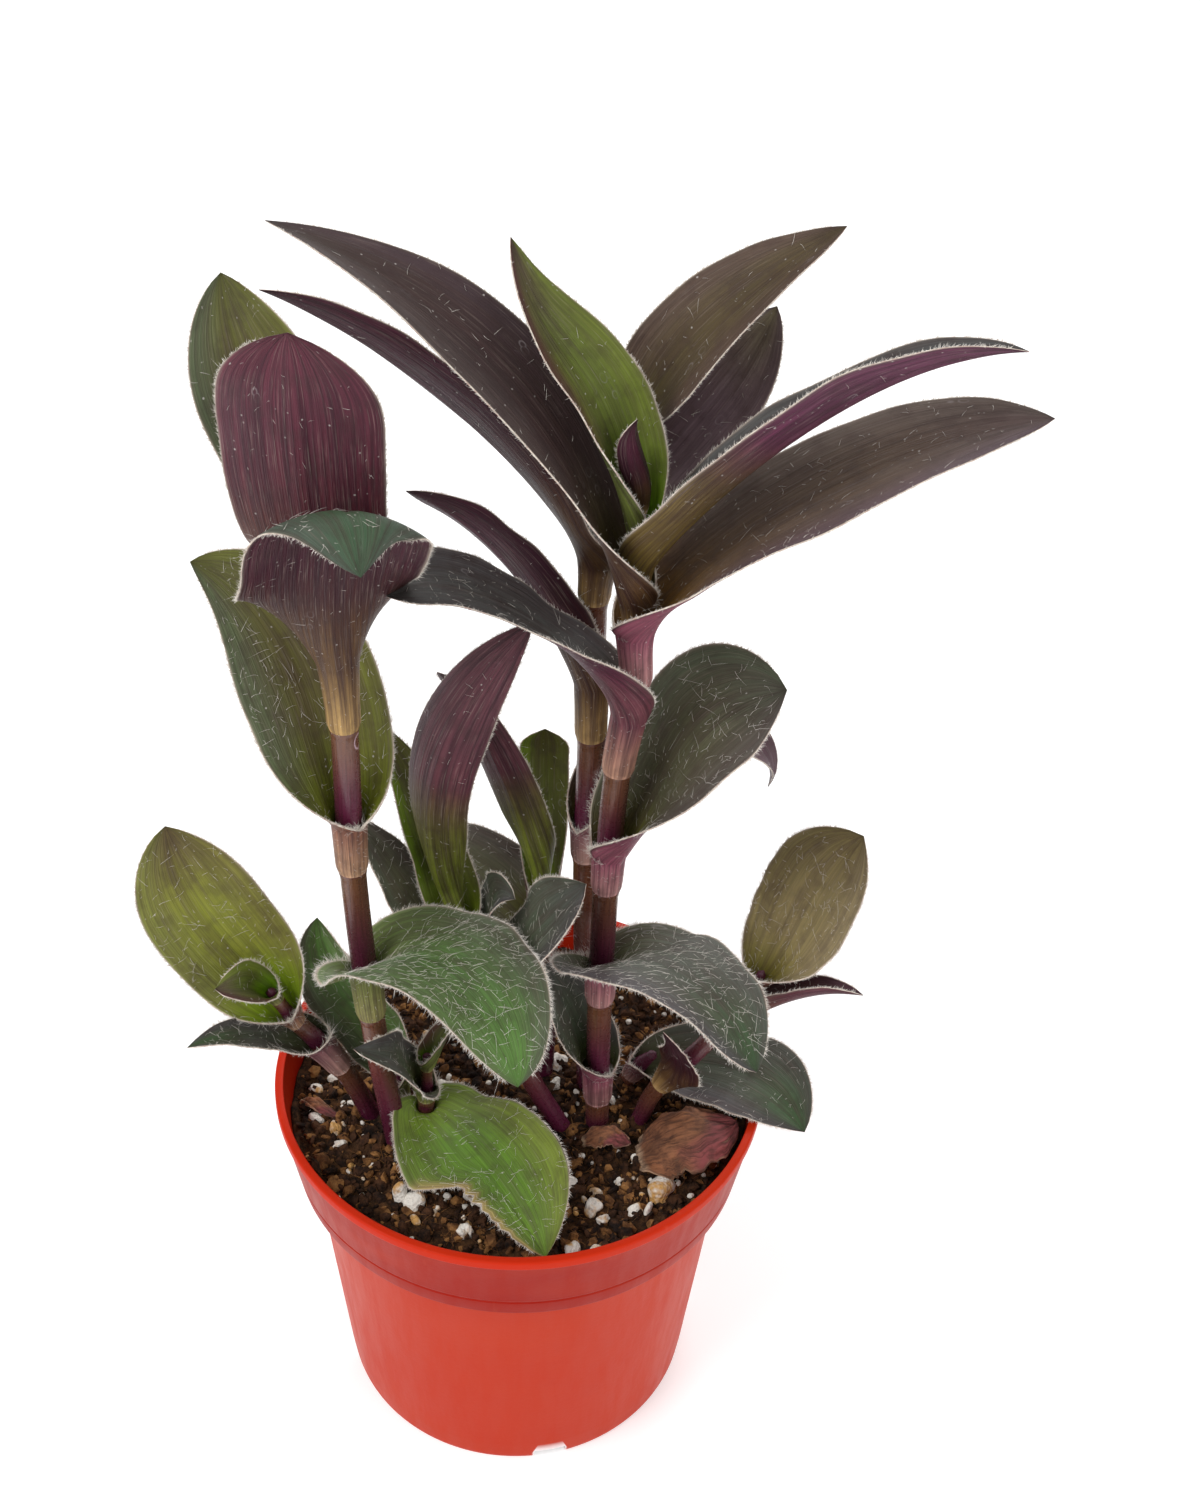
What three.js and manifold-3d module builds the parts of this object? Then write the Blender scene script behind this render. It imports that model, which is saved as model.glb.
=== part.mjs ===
// Potted tradescantia: eight leafy stems with clasping leaves in a red nursery pot.
// Millimetres, +Z up. The origin is the centre of the pot's flat bottom. +X is to the
// right and -Y towards the viewer.
import * as THREE from 'three';
import { mergeVertices } from 'three/addons/utils/BufferGeometryUtils.js';
import Module from 'manifold-3d';

const wasm = await Module();
wasm.setup();

// ---------------------------------------------------------------- driving dimensions
const RIM_RADIUS = 54;          // outside of the rim: a 108 mm pot
const POT_HEIGHT = 88;
const COLLAR_DEPTH = 21;        // from the rim down to the step
const COLLAR_FOOT_RADIUS = 50.3;
const WALL_TOP_RADIUS = 46.9;
const BASE_RADIUS = 40.3;
const BASE_CHAMFER = 1.2;
const WALL = 1.3;
const LIP_WIDTH = 2.0;
const LIP_ROUND = 0.5;          // bevel of the lip's edges
const LIP_DEPTH = 2.4;
const FLOOR = 1.8;
const POT_SIDES = 48;
const DRAIN_COUNT = 4;
const DRAIN_WIDTH = 7.5;
const DRAIN_REACH = 7;          // how far a drain notch cuts in from the foot of the wall
const DRAIN_HEIGHT = 2.6;
const DRAIN_FIRST_DEG = -76;

const SOIL_LEVEL = 78;
const SOIL_BUMP = 1.0;          // height of the crumbs over the level
const SOIL_RINGS = 11;
const SOIL_SIDES = 40;
const PERLITE_COUNT = 26;
const PERLITE_HEIGHT = 1.5;
const FIT_GAP = 0.3;            // between pieces that touch

const STEM_DEPTH = 9;           // how deep a stem stands in the soil
const STEM_SIDES = 10;
const LEAF_THICKNESS = 0.6;
const LEAF_COLUMNS = 8;
const SHEATH_STEP = 6;          // longest stretch of sheath between two rows
const TIP_THICKNESS = 0.4;
const TIP_HALF = 0.02;
const LARGE_LEAF = 40;          // a blade longer than this has more rows
const ROWS_LARGE = 8;
const ROWS_SMALL = 6;
const ROW_SPREAD = 1.15;        // rows lie closer together at the mouth

const DEG = Math.PI / 180;
const UP = new THREE.Vector3(0, 0, 1);

// ---------------------------------------------------------------- colours
const COLOURS = {
  pot: '#c4492f',
  soil: '#3b2c22',
  stem: '#5a2230',
  olive: '#5d5d33',
  green: '#4c6a45',
  grey: '#565f52',
  dark: '#43353a',
  maroon: '#5c3346',
  fresh: '#6a8a3a',
  dead: '#6a4030',
};

// ---------------------------------------------------------------- the plant
// Each stem is a list of points [x, y, z, radius], from the soil to its tip.
const STEMS = {
  left: [[-26, -14, 78, 2.4], [-30, -14, 113, 2.4], [-32.5, -14.5, 157, 2.4], [-32.5, -15, 192, 2.4],
    [-33, -15, 207, 2.2], [-33.5, -15.5, 213, 1.5], [-34.5, -15.5, 224, 1.0], [-35.5, -15, 233, 0.8]],
  front: [[17.6, -6, 78, 2.4], [17, -7, 115, 2.4], [17.3, -7, 148, 2.4], [18.5, -7, 178, 2.4],
    [21, -7, 199, 2.4], [20.5, -7, 209, 1.8], [20.5, -7, 219, 1.4], [20.5, -7, 227, 0.9],
    [20.5, -6, 238, 0.5]],
  back: [[15.3, 5, 78, 2.4], [13, 5, 139, 2.4], [13, 5, 177, 2.4], [12.7, 5, 209, 2.4],
    [13.2, 6, 217, 2.0], [14, 7.5, 224, 1.3], [15, 9, 230, 0.9], [16, 10, 237, 0.7]],
  centre: [[9.4, -7.5, 78, 2], [3, -6, 90, 2], [-4, -3, 106, 2], [-11, -0.5, 124, 1.4], [-15, 0, 140, 0.6]],
  rear: [[5, 8, 78, 2], [5.5, 8, 105, 2], [4.5, 7, 123, 1.8], [4, 7, 131, 1.2], [3.5, 7, 142, 0.8]],
  small: [[-20.4, -10.2, 78, 1.8], [-19.8, -10.8, 89, 1.6], [-19.6, -11.4, 96, 1.1], [-19.2, -12, 103, 0.8]],
  low: [[-33, -6, 78, 2], [-37, -7, 90, 2], [-43, -9, 103, 2], [-47.5, -9.7, 110, 1.5],
    [-52, -10.5, 119, 0.8]],
  right: [[27, -5, 78, 1.8], [30, -5.5, 88, 1.8], [37, -5, 98, 1.8], [43, -3, 105, 1.7], [48, -1.5, 113, 1.3],
    [51.5, 0, 120, 0.8]],
  side: [[24, 7, 78, 1.8], [27, 6.5, 84, 1.6], [30, 6, 88, 0.8]],
  inner: [[-26, -4.5, 78, 1.6], [-27, -4, 88, 1.4], [-28, -3, 96, 0.8]],
};

// Each leaf clasps its stem with a closed sheath and then opens into its blade.
//   z, sheath   height of the node, and height of the mouth over it
//   az          direction that the leaf faces, 0 = +X, 90 = +Y (degrees)
//   tip         where the blade ends
//   endPitch    how steeply the blade arrives at its tip, and endAz in which direction
//   leave, arrive  reach of the midrib's first and last tangent, as a share of its chord
//   half, widest, taper  half width, where it is, and how full the blade is towards the tip
//   fold, foldTip  how far the blade is rolled up across itself (360 = a tube, below 0 = recurved)
//   open        share of the blade over which the sheath unrolls
//   roll, rollMid  turn about the midrib at the tip, and halfway
//   wave, waves height of the margin's waves, and their number
//   flare, lean  how much the sheath widens to its mouth, and how far the blade leans out there
const LEAF_DEFAULTS = {
  leave: 0.35, arrive: 0.4, widest: 0.45, taper: 1.8, fold: 70, foldTip: 40, open: 0.3,
  roll: 0, rollMid: 0, wave: 0.5, waves: 1.5, bite: null, flare: 0.3, lean: 0.2, colour: 'grey',
};
const LEAVES = {
  leaf_left_1: { stem: 'inner', z: 81, sheath: 5, az: 90, tip: [-44, 6, 125], endPitch: 50, half: 8,
    fold: 60, leave: 0.3, open: 0.4, lean: 0.3, widest: 0.6, colour: 'grey' },
  leaf_left_2: { stem: 'left', z: 117, sheath: 13, az: -30, tip: [2, -50, 135], endPitch: -75, half: 20,
    fold: 10, open: 0.22, widest: 0.38, taper: 1.5, leave: 0.5, arrive: 0.45, endAz: -90, rollMid: -30,
    lean: 0.5, colour: 'green' },
  leaf_left_3: { stem: 'left', z: 157, sheath: 12, az: 130, tip: [-63.5, 8, 211.9], endPitch: 5, endAz: 165,
    half: 13.5, fold: 50, leave: 0.4, roll: -30, rollMid: -10, colour: 'olive' },
  leaf_left_4: { stem: 'left', z: 192, sheath: 15, az: -90, tip: [-23, -50, 247], endPitch: -70, half: 16,
    fold: -55, foldTip: -100, open: 0.55, widest: 0.6, leave: 0.7, arrive: 0.4, rollMid: 17, flare: 1,
    taper: 2.4, colour: 'grey' },
  leaf_left_5: { stem: 'left', z: 211, sheath: 7, az: -95, tip: [-36, -26, 276], endPitch: 95, half: 14.7,
    fold: 50, foldTip: 30, widest: 0.7, taper: 2.8, leave: 0.25, roll: -10, flare: 1, colour: 'maroon' },
  leaf_left_6: { stem: 'left', z: 223, sheath: 6, az: 110, tip: [-52, 4, 272], endPitch: 50, half: 11,
    fold: 50, open: 0.35, widest: 0.55, taper: 2, roll: -10, colour: 'olive' },

  leaf_front_1: { stem: 'front', z: 86, sheath: 9, az: 150, tip: [5.3, -2, 122], endPitch: 60, half: 9,
    fold: 90, open: 0.5, widest: 0.5, colour: 'grey' },
  leaf_front_2: { stem: 'front', z: 117, sheath: 9, az: -50, tip: [48, -38, 129], endPitch: -55, half: 19,
    fold: 10, open: 0.22, widest: 0.38, taper: 1.6, arrive: 0.5, endAz: -50, rollMid: -15, colour: 'grey' },
  leaf_front_3: { stem: 'front', z: 148, sheath: 9, az: 2, tip: [50.1, 0, 193.6], endPitch: 10, endAz: 0,
    half: 15.5, fold: 50, open: 0.55, widest: 0.6, taper: 2.4, leave: 0.5, lean: 0.4, roll: 45,
    colour: 'grey' },
  leaf_front_4: { stem: 'front', z: 178, sheath: 13, az: -155, tip: [-23.1, -19, 223.4], endPitch: -25,
    half: 11, fold: 60, open: 0.45, widest: 0.75, leave: 0.3, arrive: 0.25, roll: -10, taper: 3,
    colour: 'grey' },
  leaf_front_5: { stem: 'front', z: 199, sheath: 11, az: 0, tip: [92, 4, 251], endPitch: 8, half: 15.5,
    fold: 60, open: 0.18, widest: 0.5, taper: 1.7, leave: 0.2, arrive: 0.3, roll: 20, flare: 1.1,
    colour: 'olive' },
  leaf_front_6: { stem: 'front', z: 211, sheath: 6, az: 186, tip: [-43.7, 3, 281.9], endPitch: 15, half: 10,
    fold: 60, taper: 1.6, leave: 0.33, roll: -20, flare: 1.1, open: 0.25, endAz: 172, rollMid: -25,
    arrive: 0.45, colour: 'dark' },
  leaf_front_7: { stem: 'front', z: 219, sheath: 5, az: -20, tip: [81, -16, 273], endPitch: 8, half: 13.5,
    fold: 110, foldTip: 120, widest: 0.4, taper: 1.5, leave: 0.1, arrive: 0.35, roll: -5, flare: 1,
    open: 0.2, colour: 'maroon' },
  leaf_front_8: { stem: 'front', z: 227, sheath: 4, az: 140, tip: [-3, 0, 282], endPitch: 70, half: 10,
    fold: 120, open: 0.4, widest: 0.4, taper: 1.35, leave: 0.6, flare: 0.8, colour: 'fresh' },
  leaf_front_9: { stem: 'front', z: 235, sheath: 2, az: -40, tip: [19, -8, 254], endPitch: 60, half: 4,
    fold: 180, open: 0.4, widest: 0.4, flare: 0, colour: 'fresh' },

  leaf_back_1: { stem: 'side', z: 80, sheath: 3, az: 10, tip: [62.4, -16, 88.3], endPitch: -25, endAz: -60,
    half: 11, fold: 30, leave: 0.25, lean: 0.9, arrive: 0.4, open: 0.4, rollMid: -14, widest: 0.6,
    flare: 0.3, colour: 'grey' },
  leaf_back_2: { stem: 'back', z: 146, sheath: 8, az: 55, tip: [51, 24, 151.2], endPitch: -130, half: 5.5,
    fold: 80, open: 0.35, widest: 0.75, leave: 0.7, arrive: 0.4, lean: 0.1, taper: 3, colour: 'maroon' },
  leaf_back_3: { stem: 'back', z: 177, sheath: 13, az: -165, tip: [-21.7, 2, 232.5], endPitch: 25, half: 10,
    fold: 140, widest: 0.4, taper: 1.5, leave: 0.15, roll: 50, colour: 'maroon' },
  leaf_back_4: { stem: 'back', z: 209, sheath: 7.5, az: 178, tip: [-45, 0, 271], endPitch: 15, half: 11,
    fold: 80, foldTip: 80, taper: 1.6, leave: 0.15, arrive: 0.3, roll: 40, flare: 1, open: 0.15,
    rollMid: 20, colour: 'maroon' },
  leaf_back_5: { stem: 'back', z: 220, sheath: 3, az: 50, tip: [43.7, 26, 259.9], endPitch: 50, half: 9,
    fold: 50, widest: 0.6, taper: 2, leave: 0.15, roll: 10, flare: 1, rollMid: 15, open: 0.2,
    colour: 'dark' },
  leaf_back_6: { stem: 'back', z: 232, sheath: 3, az: 40, tip: [53.4, 15, 280], endPitch: 25, endAz: 20,
    half: 10, fold: 80, taper: 1.5, roll: -10, leave: 0.35, colour: 'olive' },

  leaf_centre_1: { stem: 'centre', z: 103, sheath: 4, az: -23, tip: [13.3, -15, 155.8], endPitch: 50,
    half: 11, fold: 40, leave: 0.3, roll: 30, flare: 0.8, endAz: 20, widest: 0.6, taper: 2.6, open: 0.5,
    colour: 'olive' },
  leaf_centre_2: { stem: 'centre', z: 112, sheath: 4, az: 165, tip: [-35.3, 6, 153.6], endPitch: 55,
    half: 8, fold: 60, leave: 0.15, flare: 0.8, lean: 0.8, roll: -10, colour: 'dark' },
  leaf_centre_3: { stem: 'centre', z: 119, sheath: 3, az: 10, tip: [-1, -7, 144], endPitch: -20, half: 6.5,
    fold: 60, leave: 0.2, flare: 0.8, lean: 0.8, open: 0.4, endAz: -40, colour: 'grey' },
  leaf_centre_4: { stem: 'centre', z: 125, sheath: 3, az: 113, tip: [-30.6, 14, 172], endPitch: 40, half: 6,
    leave: 0.2, flare: 0.8, lean: 0.3, fold: 50, roll: 25, endAz: 140, colour: 'olive' },
  leaf_centre_5: { stem: 'centre', z: 131, sheath: 4, az: -120, tip: [2, -8, 212], endPitch: 50, endAz: 0,
    half: 8, fold: 100, open: 0.4, widest: 0.55, leave: 0.3, arrive: 0.45, lean: 0.1, colour: 'maroon' },

  leaf_rear_1: { stem: 'rear', z: 117, sheath: 4, az: 135, tip: [-24.2, 30, 129.9], endPitch: -20, half: 11,
    fold: 30, leave: 0.1, flare: 0.8, widest: 0.3, roll: -15, open: 0.4, lean: 1, colour: 'grey' },
  leaf_rear_2: { stem: 'rear', z: 123, sheath: 5, az: 90, tip: [3.1, 30, 159.7], endPitch: 110, half: 5.5,
    fold: 60, leave: 0.2, flare: 0.8, lean: 0.4, widest: 0.85, taper: 3, open: 0.8, arrive: 0.5,
    colour: 'olive' },
  leaf_rear_3: { stem: 'rear', z: 134, sheath: 5, az: -112, tip: [-16.6, 0, 194.5], endPitch: 45, half: 6,
    fold: 90, taper: 1.4, leave: 0.3, colour: 'olive' },

  leaf_small_1: { stem: 'small', z: 81, sheath: 5, az: -60, tip: [8, -48, 83], endPitch: -30, endAz: -50,
    half: 16.5, fold: 10, open: 0.12, widest: 0.5, taper: 2.2, leave: 0.12, arrive: 0.5, lean: 0.6,
    bite: [0.42, 0.6], roll: 15, colour: 'green' },
  leaf_small_2: { stem: 'small', z: 89, sheath: 3, az: -160, tip: [-32.3, -28, 120.7], endPitch: 0,
    half: 7.5, fold: 70, lean: 0.4, endAz: 170, leave: 0.3, open: 0.35,
    colour: 'green' },
  leaf_small_3: { stem: 'small', z: 99, sheath: 2, az: 30, tip: [-14, -6, 108], endPitch: 50, half: 4,
    fold: 180, colour: 'fresh' },

  leaf_low_1: { stem: 'low', z: 94, sheath: 9, az: -165, tip: [-67, -24, 115], endPitch: -20, half: 5.2,
    fold: 60, leave: 0.2, flare: 0.8, lean: 0.5, roll: 20, colour: 'grey' },
  leaf_low_2: { stem: 'low', z: 109, sheath: 3, az: 115, tip: [-73, 2, 152], endPitch: 45, half: 12.5,
    fold: 40, widest: 0.55, taper: 2.6, leave: 0.3, flare: 1, lean: 0.4, colour: 'olive' },
  leaf_low_3: { stem: 'low', z: 116, sheath: 2, az: -170, tip: [-61, -20, 128], endPitch: 0, half: 6,
    fold: 160, colour: 'fresh' },

  leaf_right_1: { stem: 'right', z: 90, sheath: 4, az: -130, tip: [30.6, -12, 112.9], endPitch: 60,
    endAz: 180, half: 6, fold: 60, foldTip: 0, open: 0.2, widest: 0.2, taper: 1, flare: 1.4,
    colour: 'maroon' },
  leaf_right_2: { stem: 'right', z: 107, sheath: 3, az: -15, tip: [72, -8, 122], endPitch: -5, half: 8,
    fold: 170, foldTip: 150, widest: 0.2, taper: 1.2, leave: 0.12, flare: 0.8, lean: 0.2,
    colour: 'maroon' },
  leaf_right_3: { stem: 'right', z: 114, sheath: 3, az: 20, tip: [70.7, 12, 148.6], endPitch: 45, half: 14,
    fold: 50, widest: 0.5, taper: 2.6, roll: 22, colour: 'olive' },
};

// Dead leaves that lie on the soil, each along its own path.
const LOOSE_LEAVES = {
  leaf_dead_1: { path: [[26.5, -16.5, 80.2], [32, -16, 86.2], [40, -15, 88.4], [48, -11, 85]], half: 10.8,
    fold: -110, wave: 1.2, waves: 2, bite: null, colour: 'dead' },
  leaf_dead_2: { path: [[14.5, -13.5, 79.6], [19.5, -13, 82.3], [25, -14.5, 80.6]], half: 3.2,
    fold: -70, wave: 0.5, waves: 2, bite: null, colour: 'dead' },
  leaf_dead_3: { path: [[-48.5, -4, 78.7], [-45, -6, 80.4], [-39, -9, 78.5]], half: 1.6,
    fold: -60, wave: 0.5, waves: 2, bite: null, colour: 'maroon' },
};

// ---------------------------------------------------------------- helpers
/** A seeded stand-in for chance, so that every run gives the same crumbs. */
function makeRandom(seed) {
  let state = seed;
  return () => {
    state = (state * 1664525 + 1013904223) % 4294967296;
    return state / 4294967296;
  };
}

/** Turns lists of vertices and triangles into a geometry whose faces point out. */
function geometryOf(vertices, triangles) {
  let volume = 0;
  for (const [a, b, c] of triangles) {
    volume += vertices[a].dot(vertices[b].clone().cross(vertices[c])) / 6;
  }
  const index = triangles.flatMap(([a, b, c]) => (volume > 0 ? [a, b, c] : [a, c, b]));
  const geometry = new THREE.BufferGeometry();
  const places = vertices.flatMap((v) => v.toArray());
  geometry.setAttribute('position', new THREE.Float32BufferAttribute(places, 3));
  geometry.setIndex(index);
  return geometry;
}

/** Closes a stack of equal rings into a solid, with a flat cap at each end. */
function ringSolid(rings) {
  const sides = rings[0].length;
  const vertices = rings.flat();
  const triangles = [];
  for (let i = 0; i + 1 < rings.length; i += 1) {
    for (let j = 0; j < sides; j += 1) {
      const k = (j + 1) % sides;
      const [a, b, c, d] = [i * sides + j, i * sides + k, (i + 1) * sides + k, (i + 1) * sides + j];
      triangles.push([a, b, c], [a, c, d]);
    }
  }
  for (const [start, flip] of [[0, true], [(rings.length - 1) * sides, false]]) {
    const centre = vertices.length;
    const sum = new THREE.Vector3();
    for (let j = 0; j < sides; j += 1) sum.add(vertices[start + j]);
    vertices.push(sum.divideScalar(sides));
    for (let j = 0; j < sides; j += 1) {
      const [a, b] = [start + j, start + ((j + 1) % sides)];
      triangles.push(flip ? [centre, b, a] : [centre, a, b]);
    }
  }
  return geometryOf(vertices, triangles);
}

function toManifold(source) {
  const bare = source.clone();
  for (const name of Object.keys(bare.attributes)) {
    if (name !== 'position') bare.deleteAttribute(name);
  }
  const merged = mergeVertices(bare, 1e-4);
  return new wasm.Manifold(new wasm.Mesh({
    numProp: 3,
    vertProperties: Float32Array.from(merged.attributes.position.array),
    triVerts: Uint32Array.from(merged.index.array),
  }));
}

function fromManifold(solid) {
  const mesh = solid.getMesh();
  const geometry = new THREE.BufferGeometry();
  geometry.setAttribute('position', new THREE.BufferAttribute(Float32Array.from(mesh.vertProperties), 3));
  geometry.setIndex(new THREE.BufferAttribute(Uint32Array.from(mesh.triVerts), 1));
  return geometry;
}

/** Smooth value between the rows of a stem, by height: a cubic through its points. */
function stemAt(points, z) {
  const last = points.length - 1;
  let i = 0;
  while (i < last - 1 && z > points[i + 1][2]) i += 1;
  const slope = (k, axis) => {
    const lower = points[Math.max(k - 1, 0)];
    const upper = points[Math.min(k + 1, last)];
    return (upper[axis] - lower[axis]) / (upper[2] - lower[2]);
  };
  const rise = points[i + 1][2] - points[i][2];
  const t = (z - points[i][2]) / rise;
  const value = (axis) => {
    if (t < 0) return points[i][axis] + slope(i, axis) * (z - points[i][2]);
    if (t > 1) return points[i + 1][axis] + slope(i + 1, axis) * (z - points[i + 1][2]);
    return (2 * t ** 3 - 3 * t ** 2 + 1) * points[i][axis]
      + (t ** 3 - 2 * t ** 2 + t) * slope(i, axis) * rise
      + (3 * t ** 2 - 2 * t ** 3) * points[i + 1][axis]
      + (t ** 3 - t ** 2) * slope(i + 1, axis) * rise;
  };
  return new THREE.Vector3(value(0), value(1), z);
}

function stemRadius(points, z) {
  if (z <= points[0][2]) return points[0][3];
  for (let i = 0; i + 1 < points.length; i += 1) {
    const [low, high] = [points[i], points[i + 1]];
    if (z <= high[2]) return low[3] + ((high[3] - low[3]) * (z - low[2])) / (high[2] - low[2]);
  }
  return points[points.length - 1][3];
}

function stemDirection(points, z) {
  return stemAt(points, z + 0.5).sub(stemAt(points, z - 0.5)).normalize();
}

/** The part of a vector that is square to a direction, at unit length. */
function squareTo(vector, direction) {
  return vector.clone().addScaledVector(direction, -vector.dot(direction)).normalize();
}

// ---------------------------------------------------------------- leaves
/** The rows of a leaf: those of its sheath, and then those of its blade. */
function leafRows(leaf) {
  const stem = STEMS[leaf.stem];
  const facing = new THREE.Vector3(Math.cos(leaf.az * DEG), Math.sin(leaf.az * DEG), 0);
  const rows = [];
  const sheathRows = Math.ceil(leaf.sheath / SHEATH_STEP);
  for (let k = 0; k <= sheathRows; k += 1) {
    const z = leaf.z + (leaf.sheath * k) / sheathRows;
    const along = stemDirection(stem, z);
    const inward = squareTo(facing.clone().negate(), along);
    const flare = leaf.flare * (k / sheathRows) ** 2;
    const radius = stemRadius(stem, z) + FIT_GAP + LEAF_THICKNESS / 2 + flare;
    rows.push({
      point: stemAt(stem, z).addScaledVector(inward, -radius),
      inward,
      across: along.clone().cross(inward),
      half: Math.PI * radius,
      turn: 2 * Math.PI,
      share: 0,
    });
  }

  const mouth = rows[sheathRows];
  const tip = new THREE.Vector3(...leaf.tip);
  const chord = tip.distanceTo(mouth.point);
  const endAz = (leaf.endAz ?? leaf.az) * DEG;
  const arrival = new THREE.Vector3(
    Math.cos(leaf.endPitch * DEG) * Math.cos(endAz),
    Math.cos(leaf.endPitch * DEG) * Math.sin(endAz),
    Math.sin(leaf.endPitch * DEG),
  );
  const departure = stemDirection(stem, leaf.z + leaf.sheath)
    .addScaledVector(mouth.inward, -leaf.lean).normalize();
  const midrib = new THREE.CubicBezierCurve3(
    mouth.point.clone(),
    mouth.point.clone().addScaledVector(departure, leaf.leave * chord),
    tip.clone().addScaledVector(arrival, -leaf.arrive * chord),
    tip,
  );
  midrib.arcLengthDivisions = 120;
  const rowCount = midrib.getLength() > LARGE_LEAF ? ROWS_LARGE : ROWS_SMALL;

  // The frame is carried along the midrib in small steps, without twist of its own.
  const steps = 96;
  const carried = [squareTo(mouth.inward, departure)];
  for (let i = 1; i <= steps; i += 1) {
    carried.push(squareTo(carried[i - 1], midrib.getTangentAt(i / steps)));
  }
  for (let k = 1; k <= rowCount; k += 1) {
    const share = (k / rowCount) ** ROW_SPREAD;
    const along = midrib.getTangentAt(share);
    // Over the funnel the rows turn from square to the stem to square to the midrib.
    const hold = Math.max(0, 1 - share / leaf.open);
    const square = squareTo(carried[Math.round(share * steps)], along);
    const flat = square.clone().lerp(mouth.inward, hold).normalize();
    const side = along.clone().cross(square);
    const roll = (leaf.roll * share + leaf.rollMid * Math.sin(Math.PI * share)) * DEG;
    rows.push({
      point: midrib.getPointAt(share),
      inward: flat.clone().multiplyScalar(Math.cos(roll)).addScaledVector(side, Math.sin(roll)),
      across: side.clone().multiplyScalar(Math.cos(roll)).addScaledVector(flat, -Math.sin(roll)),
      half: bladeHalf(leaf, mouth.half, share),
      turn: bladeTurn(leaf, share),
      share,
    });
  }
  return { rows, closed: sheathRows + 1 };
}

/** Half width of the blade: it grows from the sheath's to its widest, then runs to a point. */
function bladeHalf(leaf, start, share) {
  if (share < leaf.widest) {
    const x = share / leaf.widest;
    return start + (leaf.half - start) * x * (2 - x);
  }
  const x = (share - leaf.widest) / (1 - leaf.widest);
  return Math.max(TIP_HALF, leaf.half * Math.max(0, 1 - x ** leaf.taper) ** 0.85);
}

/** How far a row is rolled up, in radians: a full tube at the mouth. */
function bladeTurn(leaf, share) {
  const fold = leaf.fold * DEG;
  if (share < leaf.open) {
    const x = share / leaf.open;
    return 2 * Math.PI + (fold - 2 * Math.PI) * (1 - (1 - x) ** 2);
  }
  const x = (share - leaf.open) / (1 - leaf.open);
  return fold + (leaf.foldTip * DEG - fold) * x;
}

/** The points across one row, on an arc, with the margin's waves. */
function rowPoints(leaf, row) {
  const points = [];
  for (let j = 0; j <= LEAF_COLUMNS; j += 1) {
    const u = (2 * j) / LEAF_COLUMNS - 1;
    let half = row.half;
    if (leaf.bite && u > 0) {
      const [start, depth] = leaf.bite;
      const x = Math.min(1, Math.max(0, (row.share - start) / 0.12));
      half *= 1 - depth * x * x * (3 - 2 * x);
    }
    const bend = Math.abs(row.turn) < 1e-3 ? 1e-3 : row.turn;
    const curvature = bend / (2 * row.half);
    const angle = u * half * curvature;
    const phase = u > 0 ? 0.9 : -0.5;
    const wave = leaf.wave * u * u * Math.sin(2 * Math.PI * leaf.waves * row.share + phase)
      * Math.min(1, row.share / 0.25) * (row.half / 10);
    points.push(row.point.clone()
      .addScaledVector(row.across, Math.sin(angle) / curvature)
      .addScaledVector(row.inward, (1 - Math.cos(angle)) / curvature + wave));
  }
  return points;
}

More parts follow.
